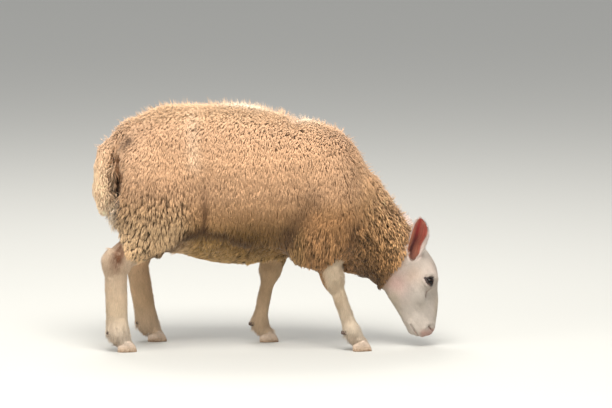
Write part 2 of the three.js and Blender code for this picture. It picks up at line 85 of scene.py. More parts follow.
def middle_of(node):
    low, high = box_of(node)
    return (low + high) / 2


def in_box(points, node, margin):
    low, high = box_of(node)
    return np.all((points > low - margin) & (points < high + margin), axis=1)


def read(items, field, width=3, kind=float):
    """A field of all the vertices or edges, one row for each."""
    values = np.empty(len(items) * width, kind)
    items.foreach_get(field, values)
    return values.reshape(-1, width)


def points_of(mesh):
    return read(mesh.vertices, "co")


def normals_of(mesh):
    return read(mesh.vertex_normals, "vector")


def put_points(mesh, points):
    mesh.vertices.foreach_set("co", np.ascontiguousarray(points, np.float32).ravel())
    mesh.update()


def new_piece(name, mesh):
    piece = bpy.data.objects.new(name, mesh)
    mesh.name = name
    bpy.context.scene.collection.objects.link(piece)
    return piece


def mesh_from(shape, name):
    mesh = bpy.data.meshes.new(name)
    shape.to_mesh(mesh)
    shape.free()
    return mesh


def finished(piece):
    """Applies the piece's modifiers."""
    depsgraph = bpy.context.evaluated_depsgraph_get()
    mesh = bpy.data.meshes.new_from_object(piece.evaluated_get(depsgraph))
    piece.modifiers.clear()
    piece.data = mesh


def surface_of(*nodes):
    """The surface of some solids, to measure on."""
    points, faces = [], []
    for node in nodes:
        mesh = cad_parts[node].data
        faces += [tuple(len(points) + i for i in face.vertices) for face in mesh.polygons]
        points += points_of(mesh).tolist()
    return BVHTree.FromPolygons(points, faces)


def neighbours_of(mesh):
    """Gives a call that takes a value for each vertex to the mean of its neighbours' values."""
    a, b = read(mesh.edges, "vertices", 2, int).T
    count = len(mesh.vertices)
    degree = np.maximum(np.bincount(a, minlength=count) + np.bincount(b, minlength=count), 1)
    return lambda p: (np.bincount(a, p[b], count) + np.bincount(b, p[a], count)) / degree


def relaxed(mesh, strength, rounds):
    """Smooths the mesh in place. strength is a number or one for each vertex, from 0 to 1."""
    mean, points = neighbours_of(mesh), points_of(mesh)
    for _ in range(rounds):
        middle = np.stack([mean(points[:, axis]) for axis in range(3)], axis=1)
        points += (middle - points) * np.broadcast_to(strength, len(points))[:, None]
    put_points(mesh, points)


def evened(mesh, values, rounds):
    mean = neighbours_of(mesh)
    for _ in range(rounds):
        values = (values + mean(values)) / 2
    return values


def beside(places, line, reach):
    """For each place, 1 on a line of points and less beside it, fading over the reach."""
    line = np.asarray(line, float)
    best = np.full(len(places), np.inf)
    for start, end in zip(line, line[1:]):
        step = end - start
        t = np.clip((places - start) @ step / (step @ step), 0, 1)
        best = np.minimum(best, np.linalg.norm(places - start - t[:, None] * step, axis=1))
    return bell(best, reach)


def near_line(points, line, reach):
    """The same for a line drawn on the flank, seen from the side, in metres."""
    return beside(points * (1, 0, 1), [(x, 0, z) for x, z in line], reach)


# --- Places, all from the boxes of the solids ---

EYES = {name: middle_of("eye_" + name) for name in SIDES}
EYE_RADIUS = np.ptp(box_of("eye_right"), axis=0)[0] / 2

# The head's own frame: down the face, out of the forehead and across, from between the eyes.
FACE_TILT = math.radians(3.5)
BETWEEN_EYES = (EYES["left"] + EYES["right"]) / 2
HEAD_AXES = np.array(
    [
        [math.sin(FACE_TILT), 0, -math.cos(FACE_TILT)],
        [math.cos(FACE_TILT), 0, math.sin(FACE_TILT)],
        [0, 1, 0],
    ]
)
# Where the head's solid starts along X, and where the neck's hair and wool may still meet.
HEAD_BACK = box_of("head")[0][0]
ON_NECK = HEAD_BACK - 60 * MM


def in_head(points):
    """Places in the head's frame, in millimetres: down the face, out of it, and across."""
    return (points - BETWEEN_EYES) @ HEAD_AXES.T / MM


def from_head(places):
    return BETWEEN_EYES + np.asarray(places, float) * MM @ HEAD_AXES


class Ear:
    """Where an ear is seated, which way it opens, and places measured along and across it."""

    SEAT = -52, -42, 38  # in the head's frame, across counted outwards
    FACING = 0.35, 0.9, -0.1  # which way the hollow looks: ahead, outwards and up
    STOPS = np.linspace(0, 1, 17)
    WIDEST = 20.3 * MM  # half of its width at its widest
    # The edges of the hollow, in millimetres from the line between the ear's seat and its tip.
    HOLLOW_STOPS = [0.0, 0.05, 0.12, 0.2, 0.33, 0.47, 0.58, 0.74, 0.84, 0.92, 0.98]
    HOLLOW_REAR = [0, -5, -9.5, -12, -12.6, -12.6, -12.2, -11, -9.6, -6.5, -2]
    HOLLOW_FRONT = [1, 7, 13, 18, 20.5, 23, 25.5, 24, 18.5, 12, 5]

    def __init__(self, name):
        self.name = name
        self.node = "ear_" + name
        self.seat = from_head(np.array(self.SEAT) * (1, 1, SIDES[name]))
        places = points_of(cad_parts[self.node].data)
        self.tip = places[away(places, self.seat).argmax()]
        self.axis = unit(self.tip - self.seat)
        self.length = np.linalg.norm(self.tip - self.seat)
        facing = np.array(self.FACING) * (1, SIDES[name], 1)
        self.face = unit(facing - (facing @ self.axis) * self.axis)
        self.front = np.cross(self.axis, self.face) * -SIDES[name]
        self.tree = surface_of(self.node)
        self.fit(places, 0.1)

    def fit(self, places, window):
        """Finds the rear and the front edge of the ear from places on it."""
        along, across = (places - self.seat) @ self.axis / self.length, places @ self.front
        slices = [across[np.abs(along - min(stop, along.max())) < window] for stop in self.STOPS]
        self.rear_edge = [part.min() for part in slices]
        self.front_edge = [part.max() for part in slices]

    def span(self, along):
        """The middle and the half of the ear's width, in metres."""
        rear = np.interp(along, self.STOPS, self.rear_edge)
        front = np.interp(along, self.STOPS, self.front_edge)
        return (rear + front) / 2, np.maximum(front - rear, 4 * MM) / 2

    def measured(self, points):
        """How far along the ear each place lies, from 0 to 1, and how far across it, from -1 at
        its rear edge to 1 at its front edge."""
        along = (points - self.seat) @ self.axis / self.length
        middle, half = self.span(along)
        return along, (points @ self.front - middle) / half

    def from_seat(self, points):
        """How far along the ear each place lies, from 0 to 1, and how many millimetres it lies
        in front of the line from the ear's seat to its tip."""
        offset = points - self.seat
        return offset @ self.axis / self.length, offset @ self.front / MM

    def hollow(self, points, normals):
        """1 on the hollow side of the ear, inside its pale edge."""
        along, aside = self.from_seat(points)
        behind = aside - np.interp(along, self.HOLLOW_STOPS, self.HOLLOW_REAR)
        before = np.interp(along, self.HOLLOW_STOPS, self.HOLLOW_FRONT) - aside
        from_tip = (0.975 - along) * self.length / MM
        inside = np.minimum(np.minimum(behind, before), from_tip)
        facing = smooth(normals @ self.face, -0.1, 0.3)
        return facing * smooth(inside, -0.8, 1.6) * smooth(along, 0.0, 0.06)

    def share(self, points, spare=0.0):
        """1 on the ear and 0 elsewhere, out to a few spare millimetres beside it."""
        found = np.zeros(len(points))
        inside = np.flatnonzero(in_box(points, self.node, 9 * MM))
        for i in inside:
            found[i] = self.tree.find_nearest(Vector(points[i]))[3] / MM
        along = self.measured(points)[0]
        free = spare + 3 * smooth(along[inside], 0.45, 0.7)
        found[inside] = 1 - smooth(found[inside] - free, 3.5, 6)
        return found * smooth(along, -0.02, 0.1)


EARS = [Ear(name) for name in SIDES]

# The slanting plane behind the ears and cheeks where the head's solid ends.
FACE_EDGE_LEAN = math.radians(22)
FACE_EDGE = np.array([math.cos(FACE_EDGE_LEAN), 0, -math.sin(FACE_EDGE_LEAN)])
FACE_EDGE_AT = BETWEEN_EYES + np.array([-82, 0, 53]) * MM

# The edge between the wool and the short hair of the cheek, seen from the side: how far along X
# it lies at each height.
WOOL_EDGE_HEIGHTS = [0.12, 0.143, 0.17, 0.187, 0.202, 0.223, 0.26, 0.3]
WOOL_EDGE_PLACES = [0.268, 0.276, 0.288, 0.298, 0.316, 0.328, 0.342, 0.352]


def ahead_of_head_cut(points):
    """Millimetres in front of the plane where the head's solid ends."""
    return (points - FACE_EDGE_AT) @ FACE_EDGE / MM


def ahead_of_wool(points):
    """Millimetres in front of the edge of the wool on the head, negative in the wool."""
    edge = np.interp(points[:, 2], WOOL_EDGE_HEIGHTS, WOOL_EDGE_PLACES)
    return 0.9 * (points[:, 0] - edge) / MM


def leaning(degrees):
    """The way up, leaning back by some degrees."""
    return np.array([-math.sin(math.radians(degrees)), 0, math.cos(math.radians(degrees))])


class Leg:
    """Where a leg stands, and the slanting hem where its wool ends."""

    # How the hem leans, how far along the shank's box it crosses the limb, and how far below
    # the box's top it does so, in millimetres.
    HEMS = {
        "fore_right": (22, 0.325, 7),
        "fore_left": (6, 0.513, 4),
        "hind_right": (-26, 0.424, 13),
        "hind_left": (-26, 0.362, 13),
    }
    # The slants of the wool's lower edge: how far ahead of the hem and above it each runs, in
    # millimetres, and how it leans.
    WOOL_EDGES = {"fore": [(0, 14, 33)], "hind": [(21, 34, -74), (14, 4, -6)]}
    REACH = {"fore": 38, "hind": 60}

    def __init__(self, kind, name):
        self.tag = kind + "_" + name
        self.kind, self.side = kind, SIDES[name]
        self.upper, self.lower = (f"{kind}leg_{name}_{part}" for part in ("upper", "lower"))
        self.claws, self.dewclaws = (
            [f"{claw}_{self.tag}_{place}" for place in ("outer", "inner")]
            for claw in ("hoof", "dewclaw")
        )
        low, high = box_of(self.lower)
        degrees, along, drop = self.HEMS[self.tag]
        self.hem_normal = leaning(degrees)
        across = (low[1] + high[1]) / 2
        self.hem = np.array([low[0] + along * (high[0] - low[0]), across, high[2] - drop * MM])
        self.edges = [
            (self.hem + np.array([ahead, 0, above]) * MM, leaning(degrees))
            for ahead, above, degrees in self.WOOL_EDGES[kind]
        ]
        self.foot = np.mean([middle_of(claw) for claw in self.claws], axis=0)
        self.fetlock = np.mean([middle_of(claw) for claw in self.dewclaws], axis=0)

    def claw_box(self):
        """The box round both claws."""
        lows, highs = zip(*[box_of(claw) for claw in self.claws])
        return np.min(lows, axis=0), np.max(highs, axis=0)

    def above_hem(self, points):
        """Millimetres above the hem."""
        return (points - self.hem) @ self.hem_normal / MM

    def above_wool_edge(self, points):
        """Millimetres above the lower edge of the wool."""
        return np.min([(points - at) @ normal for at, normal in self.edges], axis=0) / MM

    def from_line(self, points):
        """Millimetres from the leg's line, which runs from the hem to the foot."""
        line = self.foot - self.hem
        along = np.clip((points - self.hem) @ line / (line @ line), 0, 1)
        return np.linalg.norm(points - self.hem - along[:, None] * line, axis=1) / MM

    def reach(self, points):
        """How far from its line the leg reaches, in millimetres, most at the foot."""
        return self.REACH[self.kind] + 24 * smooth(-points[:, 2], -0.13, -0.09)

    def near(self, points):
        """Which points lie close to the leg below its hem."""
        return self.from_line(points) < self.reach(points)

    def wool(self, points):
        """1 in the wool over this leg and 0 on its short hair."""
        aside = smooth(self.from_line(points) - self.reach(points), -8, 0)
        return np.maximum(smooth(self.above_wool_edge(points), -4, 5), aside)


LIMBS = [Leg(kind, name) for kind in ("fore", "hind") for name in SIDES]


def woolliness(points):
    """1 in the fleece, 0 on the face and below the hems of the legs."""
    wool = 1 - smooth(ahead_of_wool(points), -4, 8) * (points[:, 0] > ON_NECK)
    for leg in LIMBS:
        wool = np.where(leg.near(points), leg.wool(points), wool)
    return wool


# --- Skin ---

SWELL = 0.7 * MM  # closes the thin cuts between neighbouring solids
FLAT_END = 0.995  # how squarely a face of a solid's flat end looks along its stretch
CORE_VOXEL = 6 * MM
TAIL_VOXEL = 3 * MM
SKIN_VOXEL = 1.9 * MM
# How deep the skin lies under the short hair, in millimetres.
FACE_DEPTH, SHANK_DEPTH, EAR_DEPTH, HOCK_DEPTH = 2.2, 2.5, 0.9, 4.5
LID_THICKNESS = 1.3
# How far the head and the shanks run on into the trunk's flesh, in millimetres.
HEAD_OVERLAP, SHANK_OVERLAP = 14, 16
# The share of the skin's faces that is kept under the wool and on the legs.
KEPT_UNDER_WOOL, KEPT_ON_LEGS = 0.085, 0.36
# How deep the wool is over the skin, in millimetres: on the body and how much less under it, at
# the edge of the face, on the head and shanks, at the hems of the legs, and how much it gains
# away from those edges.
BODY_DEPTH, LESS_BELOW, NAPE_DEPTH, SHORT_DEPTH, HEM_DEPTH, GAIN = 18, 4, 2.6, 6, 3.5, 14
HOCK_CORNER = [(-0.385, 0.248), (-0.374, 0.262)]
BESIDE_TAIL = [(-0.368, 0.45), (-0.367, 0.35)]

# The tail under its wool, as places down its middle: how far ahead of the box's back and above
# its foot, then half its width and half its thickness, all in millimetres.
TAIL_STATIONS = np.array(
    [
        (96, 200, 30, 18),
        (60, 180, 28, 13),
        (38, 155, 28, 19),
        (31, 115, 27, 20),
        (32, 62, 26, 20),
        (37, 26, 20, 16),
    ]
)


def flesh(node, swell, stretch=None):
    """A merged copy of a solid, swollen a little. Its flat end that faces along the vector
    stretch is pulled out by that vector, into the neighbouring solid."""
    shape = bmesh.new()
    shape.from_mesh(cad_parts[node].data)
    bmesh.ops.remove_doubles(shape, verts=shape.verts, dist=1e-5)
    shape.normal_update()
    for v in shape.verts:
        v.co += v.normal * swell
    if stretch is not None:
        facing = Vector(stretch).normalized()
        end = {v for f in shape.faces if f.normal.dot(facing) > FLAT_END for v in f.verts}
        bmesh.ops.translate(shape, verts=list(end), vec=Vector(stretch))
    return shape


def ball(middle, radii, subdivisions=3):
    shape = bmesh.new()
    bmesh.ops.create_icosphere(shape, subdivisions=subdivisions, radius=1)
    bmesh.ops.scale(shape, verts=shape.verts, vec=Vector(radii))
    bmesh.ops.translate(shape, verts=shape.verts, vec=Vector(middle))
    return shape


def fused(name, shapes, voxel):
    """One closed piece round all the shapes."""
    whole = bmesh.new()
    for shape in shapes:
        whole.from_mesh(mesh_from(shape, name))
    piece = new_piece(name, mesh_from(whole, name))
    remesh = piece.modifiers.new("fuse", "REMESH")
    remesh.mode = "VOXEL"
    remesh.voxel_size = voxel
    finished(piece)
    return piece


def as_shape(piece):
    """The piece's mesh as a bmesh, and the piece removed."""
    shape = bmesh.new()
    shape.from_mesh(piece.data)
    bpy.data.objects.remove(piece)
    return shape


def dips(points):
    """How far the coat stays under the solids, in millimetres: behind the withers, along the
    nape, and on the thighs beside the tail."""
    x, y, z = points.T
    on_top = bell(y, 0.06) * smooth(z, 0.36, 0.42)
    withers = 12 * bell(x - 0.07, 0.024)
    nape = 8.5 * smooth(x, 0.1, 0.14) * smooth(-x, -0.262, -0.235)
    by_tail = near_line(points, BESIDE_TAIL, 0.023)
    by_tail *= smooth(np.abs(y), 0.034, 0.046) * smooth(-np.abs(y), -0.11, -0.085)
    return on_top * (withers + nape + 5 + 3 * bell(x, 0.14)) + 33 * by_tail


def fleece_depth(points):
    """How deep the coat is over the skin, in millimetres."""
    depth = BODY_DEPTH - LESS_BELOW * smooth(-points[:, 2], -0.25, -0.19)
    depth = np.minimum(depth, NAPE_DEPTH + GAIN * smooth(-ahead_of_wool(points), 2, 85))
    depth = np.where(ahead_of_head_cut(points) > 6, SHORT_DEPTH, depth)
    for leg in LIMBS:
        above = np.minimum(leg.above_hem(points), leg.above_wool_edge(points))
        close = away(points, leg.hem) < 110 * MM
        at_hem = np.minimum(depth, HEM_DEPTH + GAIN * smooth(above, 0, 60))
        depth = np.where(close, at_hem, depth)
        depth = np.where(leg.near(points) & (leg.above_hem(points) < 0), SHORT_DEPTH, depth)
    return depth + dips(points)


OUTLINE = surface_of("trunk", "neck", "head", "tail", *(leg.upper for leg in LIMBS))


def reach_of_solids(roots, normals, farthest=48 * MM):
    """How far out of the skin the solids go at each root, in millimetres."""
    found = np.zeros(len(roots))
    for i, (root, normal) in enumerate(zip(roots.tolist(), normals.tolist())):
        start, way, gone = Vector(root), Vector(normal), 0.0
        while gone < farthest:
            distance = OUTLINE.ray_cast(start + way * gone, way, farthest - gone)[3]
            if distance is None:
                break
            found[i] = gone + distance
            gone += distance + 0.2 * MM
    return found / MM


def drawn_in(mesh, depth_of, rounds, smoothing):
    """Moves the surface inwards by a depth, in small steps with a little smoothing between."""
    depth = depth_of(points_of(mesh))
    for _ in range(rounds):
        put_points(mesh, points_of(mesh) - normals_of(mesh) * (depth * MM / rounds)[:, None])
        relaxed(mesh, smoothing, 1)


def trunk_core():
    """The flesh under the fleece. It runs on inside the head and shanks, so no end is rounded."""
    nodes = ["trunk", "neck", "head", *(node for leg in LIMBS for node in (leg.upper, leg.lower))]
    shapes = [flesh(node, SWELL) for node in nodes]
    shapes += [ball(EYES[name], [EYE_RADIUS] * 3) for name in SIDES]
    core = fused("core", shapes, CORE_VOXEL)
    mesh = core.data
    relaxed(mesh, 0.6, 10)
    drawn_in(mesh, fleece_depth, 6, 0.25)
    # Where smoothing took too much, as behind the thighs, the skin goes back out.
    for _ in range(2):
        points, normals = points_of(mesh), normals_of(mesh)
        excess = reach_of_solids(points, normals) - fleece_depth(points)
        excess = evened(mesh, np.clip(excess, -4, 14), 6)
        put_points(mesh, points + normals * (0.8 * excess * MM)[:, None])
    relaxed(mesh, 0.4, 2)
    return as_shape(core)


def tail_core():
    """The tail inside its wool, rooted in the rump."""
    low = box_of("tail")[0]
    foot = np.array([low[0], 0, low[2]])
    shapes = []
    for step in np.linspace(0, len(TAIL_STATIONS) - 1, 26):
        station = [np.interp(step, range(len(TAIL_STATIONS)), row) for row in TAIL_STATIONS.T]
        ahead, above, width, thickness = np.array(station) * MM
        shapes.append(ball(foot + (ahead, 0, above), (thickness, width, thickness + 2 * MM)))
    tail = fused("tail_core", shapes, TAIL_VOXEL)
    relaxed(tail.data, 0.6, 8)
    return as_shape(tail)


def thinned(piece, chosen, share):
    """Keeps only a share of the faces where a test on places is above a half."""
    mesh = piece.data
    inside = np.flatnonzero(chosen(points_of(mesh)) > 0.5)
    group = piece.vertex_groups.new(name="thinned")
    group.add(inside.tolist(), 1.0, "REPLACE")
    thin = piece.modifiers.new("thin", "DECIMATE")
    thin.ratio = 1 - (1 - share) * len(inside) / len(mesh.vertices)
    thin.vertex_group = group.name
    finished(piece)
    piece.vertex_groups.clear()


def refined(piece, chosen):
    """Splits the faces whose vertices are all chosen by a test on places."""
    shape = bmesh.new()
    shape.from_mesh(piece.data)
    hit = chosen(points_of(piece.data))
    edges = {e for f in shape.faces if all(hit[v.index] for v in f.verts) for e in f.edges}
    bmesh.ops.subdivide_edges(shape, edges=list(edges), cuts=1, use_grid_fill=True)
    bmesh.ops.triangulate(shape, faces=[f for f in shape.faces if len(f.verts) > 4])
    shape.to_mesh(piece.data)
    shape.free()


def on_ears(points):
    """1 on the free part of the ears."""
    free = [ear.share(points) * smooth(ear.measured(points)[0], 0.16, 0.26) for ear in EARS]
    return np.max(free, axis=0)


def on_rims(points):
    """1 along the edges of the ears."""
    rims = [ear.share(points) * smooth(np.abs(ear.measured(points)[1]), 0.5, 0.8) for ear in EARS]
    return np.max(rims, axis=0)


def cast_skin():
    """The skin as one closed piece with the lids and coronets, fine only where it shows."""
    shapes = [trunk_core(), tail_core()]
    shapes.append(flesh("head", -FACE_DEPTH * MM, -FACE_EDGE * HEAD_OVERLAP * MM))
    eye_fill = EYE_RADIUS + (LID_THICKNESS - 0.6) * MM
    for name in SIDES:
        shapes.append(ball(EYES[name], [eye_fill] * 3, 4))
        shapes.append(flesh("ear_" + name, 1.3 * MM))
    for leg in LIMBS:
        shapes.append(flesh(leg.lower, -SHANK_DEPTH * MM, leg.hem_normal * SHANK_OVERLAP * MM))
    for leg in LIMBS:
        low, high = leg.claw_box()
        middle, half = (low + high) / 2, (high - low) / 2
        coronet = (middle[0] - 0.25 * half[0], middle[1], high[2] - 2.5 * MM)
        shapes.append(ball(coronet, (0.62 * half[0], half[1] - 2 * MM, 8 * MM)))
    piece = fused("skin", shapes, SKIN_VOXEL)
    mesh = piece.data
    places = points_of(mesh)
    ears = on_ears(places)
    seam = bell(ahead_of_head_cut(places), 14) * (places[:, 0] > ON_NECK)
    for leg in LIMBS:
        seam = np.maximum(seam, bell(leg.above_hem(places), 12) * leg.near(places))
    bases = np.max([bell(away(places, ear.seat), 26 * MM) for ear in EARS], axis=0)
    relaxed(mesh, 0.6 * bases * (1 - 0.9 * ears), 12)
    relaxed(mesh, 0.5 * on_rims(places), 18)
    relaxed(mesh, 0.55 * (1 - 0.3 * ears), 8)
    relaxed(mesh, 0.6 * seam, 30)
    deeper = (EAR_DEPTH * ears + HOCK_DEPTH * near_line(places, HOCK_CORNER, 0.013)) * MM
    put_points(mesh, points_of(mesh) - normals_of(mesh) * deeper[:, None])
    thinned(piece, woolliness, KEPT_UNDER_WOOL)
    on_legs = lambda p: np.any([leg.near(p) for leg in LIMBS], axis=0) * 1.0
    thinned(piece, on_legs, KEPT_ON_LEGS)
    return piece


# --- The head, sculpted in its own frame ---

# The right and left eye alike, in the head's frame with across counted outwards, in millimetres:
# its middle, how far the forms round it reach, which way the opening looks, and how the line
# through its corners leans from straight down the face.
EYE_AT = in_head(EYES["left"][None])[0]
EYE_REGION = 22
EYE_LOOKS = unit(np.array([-0.06, 0.34, 0.94]))
SLIT_LEAN = math.radians(38)
ALONG_SLIT = np.array([math.cos(SLIT_LEAN), math.sin(SLIT_LEAN), 0])
ALONG_SLIT = unit(ALONG_SLIT - (ALONG_SLIT @ EYE_LOOKS) * EYE_LOOKS)
TO_UPPER_LID = unit(np.cross(EYE_LOOKS, ALONG_SLIT))
# Corners along the slit, and how high the upper lid and how low the lower one arches.
OUTER_CORNER, INNER_CORNER = -13.6, 9.4
UPPER_ARCH, LOWER_ARCH, SLIT_AT = 15.0, 3.6, -2.4
RADIUS = EYE_RADIUS / MM

# The groove from the inner corner of the eye to the pit under it, the slit of the nostril, the
# groove under the nose, and the parting of the lips from the middle outwards.
TEAR = [(14, 4, 40), (20, -2, 40), (25, -7, 40)]
PIT = [(25, -7, 40), (32, -10, 38), (38, -11, 36)]
NOSTRIL = [(127, 3, 6.5), (123, 1.5, 10), (118, -3, 16), (113, -6, 21), (110, -3, 23.5)]
CLEFT = [(132, 2, 0), (137, -10, 0), (139, -24, 0)]
LIPS = [(139, -27, 0), (135, -31, 13), (125, -37, 21), (113, -45, 24), (104, -49, 24)]
EAR_FOLD = [(-76, -58, 51), (-60, -62, 54), (-47, -54, 55), (-47, -38, 53)]

# The forms of the face: the line each follows, how far it reaches, and how high it stands.
FACE_FORMS = [
    # The brow, the cheekbone, and the hollows beside them.
    ([(-18, 2, 44), (-13, 14, 38), (0, 21, 33), (12, 20, 30)], 7, 2.4),
    ([(-20, -16, 52), (2, -19, 51), (24, -16, 44), (46, -14, 34)], 8, 2.2),
    ([(30, -36, 44), (55, -32, 36), (78, -28, 29)], 10, -2.2),
    ([(-40, -8, 42), (-28, 4, 38)], 10, -1.8),
    ([(-8, -52, 56), (-30, -60, 60)], 22, 1.8),
    # The pit under the inner corner, with its raised rim, and the groove that leads to it.
    (TEAR, 2.0, -1.3),
    (PIT, 2.2, -3.0),
    ([(25, -12, 42), (32, -15, 40), (38, -15, 37)], 2.6, 1.0),
    # Veins and muscle down the side of the nose.
    ([(44, 2, 30), (62, -4, 26), (84, -12, 25)], 3.5, 0.9),
    ([(50, -22, 36), (74, -26, 30), (96, -34, 27)], 4.5, 1.0),
    # Nostrils: a raised wing round a comma-shaped slit, and the groove under the nose.
    ([(112, 8, 13), (104, 3, 20), (105, -10, 26), (114, -15, 26)], 4.5, 2.0),
    ([(127, 5, 6), (130, -2, 8), (131, -9, 10)], 4.5, 1.6),
    (NOSTRIL, 2.3, -6.5),
    (CLEFT, 1.5, -2.2),
    # Lips: a parting line to the corner of the mouth, with a fuller edge on each side.
    ([(d - 1, o + 6, a + 1) for d, o, a in LIPS], 4.6, 2.0),
    ([(d - 2, o - 6, a) for d, o, a in LIPS], 4.6, 1.6),
    (LIPS, 1.6, -3.2),
    ([(126, -50, 0), (124, -50, 8)], 9, 1.8),
    # The edge of the lower jaw and the hollow of the throat between its branches.
    ([(86, -66, 14), (50, -84, 22), (24, -100, 34)], 8, 1.2),
    ([(84, -74, 0), (54, -92, 0), (24, -112, 0)], 9, -2.5),
]
# Fine folds behind the corner of the mouth and over the throat.
FACE_FORMS += [
    ([(90 - 5 * i, -44 - 2 * i, 28), (86 - 6 * i, -56 - 2 * i, 24)], 1.6, -0.9) for i in range(3)
]


def mirrored(points):
    """Head places with across counted outwards from the middle, and the side each is on."""
    head = in_head(points)
    side = np.where(head[:, 2] < 0, -1.0, 1.0)
    head[:, 2] *= side
    return head, side


def lid_gap(head):
    """How far inside the opening between the lids a place lies, in millimetres."""
    offset = head - EYE_AT
    along, height = offset @ ALONG_SLIT, offset @ TO_UPPER_LID
    t = np.clip((along - OUTER_CORNER) / (INNER_CORNER - OUTER_CORNER), 0, 1)
    arch = np.sin(np.pi * t**0.85)
    upper = SLIT_AT + UPPER_ARCH * arch**0.8 - 1.0 * t
    lower = SLIT_AT - LOWER_ARCH * arch - 1.0 * t
    ends = np.minimum(along - OUTER_CORNER, INNER_CORNER - along)
    return np.minimum(np.minimum(upper - height, height - lower), ends)


def sculpt_eye(head):
    """Lays the lids on the ball, thickest at their margins, and dips the skin in the gap."""
    offset = head - EYE_AT
    distance = np.linalg.norm(offset, axis=1)
    facing = offset @ EYE_LOOKS / np.maximum(distance, 1e-6)
    near = smooth(facing, 0.05, 0.3) * (distance < RADIUS + 12)
    gap = lid_gap(head)
    lid = RADIUS + LID_THICKNESS + 0.5 * bell(gap + 1.6, 1.6) - 0.35 * bell(gap + 5.5, 1.6)
    wanted = np.where(gap > 0, RADIUS - 2.4 * smooth(gap, 0, 1.1), lid)
    share = np.where(gap > -0.2, near, near * smooth(gap, -8, -3))
    radius = distance + (wanted - distance) * share
    return EYE_AT + offset * (radius / np.maximum(distance, 1e-6))[:, None]


def sculpt_face(head, normals):
    """Moves every place along its normal by the sum of the face's forms."""
    down, _, across = head.T
    bony_ring = bell(away(head, EYE_AT) - 17, 8) * smooth(across, 22, 34)
    rise = 3.4 * bony_ring
    for line, reach, height in FACE_FORMS:
        rise += height * beside(head, line, reach)
    return head + normals * (rise * smooth(down, -60, -35))[:, None]


def sculpt_ears(mesh):
    """Rounds the tips of the ears, and hollows them with folds inside and a rolled edge."""
    points = points_of(mesh)
    for ear in EARS:
        ear.fit(points[ear.share(points) > 0.5], 0.05)
        along, across = ear.measured(points)
        half = ear.span(along)[1]
        to_tip = np.maximum(along - 0.48, 0) / 0.53
        rounded = ear.WIDEST * np.sqrt(np.clip(1 - to_tip**2, 0.02, 1))
        wider = np.clip(rounded / half, 0.5, 2.0) - 1
        aside = ear.share(points) * across * half * wider * smooth(along, 0.5, 0.65)
        points += aside[:, None] * ear.front
    put_points(mesh, points)
    relaxed(mesh, 0.5 * on_rims(points), 3)
    points, normals = points_of(mesh), normals_of(mesh)
    rise = np.zeros(len(points))
    for ear in EARS:
        ear.fit(points[ear.share(points) > 0.5], 0.05)
        along, across = ear.measured(points)
        inner = smooth(normals @ ear.face, 0.1, 0.5)
        hollow = -2.6 * np.clip(1 - across**2, 0, 1) * bell(along - 0.14, 0.17)
        folds = 0.5 * np.cos(8 * across - 1.5 * along)
        folds = folds * smooth(along, 0.1, 0.3) * smooth(-along, -0.9, -0.7)
        rim = 0.9 * bell(np.abs(across) - 0.92, 0.16)
        rise += ear.share(points) * ((hollow + folds) * inner + rim)
    rise += 2.4 * beside(mirrored(points)[0], EAR_FOLD, 4.5) * (points[:, 0] > HEAD_BACK)
    put_points(mesh, points + normals * (rise * MM)[:, None])


def sculpt_head(piece):
    """Splits the skin finely at the eyes and the muzzle, and gives the head its forms."""
    mesh = piece.data

    def detailed(points):
        head, _ = mirrored(points)
        eye = away(head, EYE_AT) < EYE_REGION
        pit = away(head, (31, -9, 38)) < 14
        muzzle = head[:, 0] > 90
        return (eye | pit | muzzle) & (points[:, 0] > HEAD_BACK)

    def fine(points):
        head, _ = mirrored(points)
        ringed = (np.abs(lid_gap(head)) < 2.6) & (away(head, EYE_AT) < 19)
        return ringed & (points[:, 0] > HEAD_BACK)

    refined(piece, detailed)
    refined(piece, fine)
    relaxed(mesh, detailed(points_of(mesh)) * 0.5, 2)
    points = points_of(mesh)
    head, side = mirrored(points)
    normals = normals_of(mesh) @ HEAD_AXES.T
    normals[:, 2] *= side
    on_head = (ahead_of_head_cut(points) > -12) & (points[:, 0] > HEAD_BACK)
    shaped = np.where(on_head[:, None], sculpt_eye(sculpt_face(head, normals)), head)
    shaped[:, 2] *= side
    put_points(mesh, from_head(shaped))


skin = cast_skin()
sculpt_ears(skin.data)
sculpt_head(skin)

# --- Markings: one set of colours for the skin and the coat ---


def tone(red, green, blue):
    """A colour as the eye names it, from 0 to 255, turned linear."""
    value = np.array([red, green, blue]) / 255
    return np.where(value <= 0.04045, value / 12.92, ((value + 0.055) / 1.055) ** 2.4)


WAVES = rng.normal(size=(14, 3)), rng.uniform(0, 2 * math.pi, 14)


def mottle(points, size):
    """Smooth random patches of about the given size in metres, roughly from -1 to 1."""
    directions, starts = WAVES
    return np.sin(points @ directions.T / size * 2.2 + starts).sum(axis=1) / 4.5


def ramp(values, stops, tones):
    """Tones, each at its stop, blended at every value."""
    tones = np.array([tone(*each) for each in tones])
    return np.stack([np.interp(values, stops, tones[:, i]) for i in range(3)], axis=1)


def laid_over(colour, tint, share):
    return colour + (tint - colour) * np.clip(share, 0, 1)[:, None]


def painted(colour, *coats):
    """The colour with tones laid over it in turn, each with the share it has at every place."""
    for share, each in coats:
        colour = laid_over(colour, tone(*each), share)
    return colour


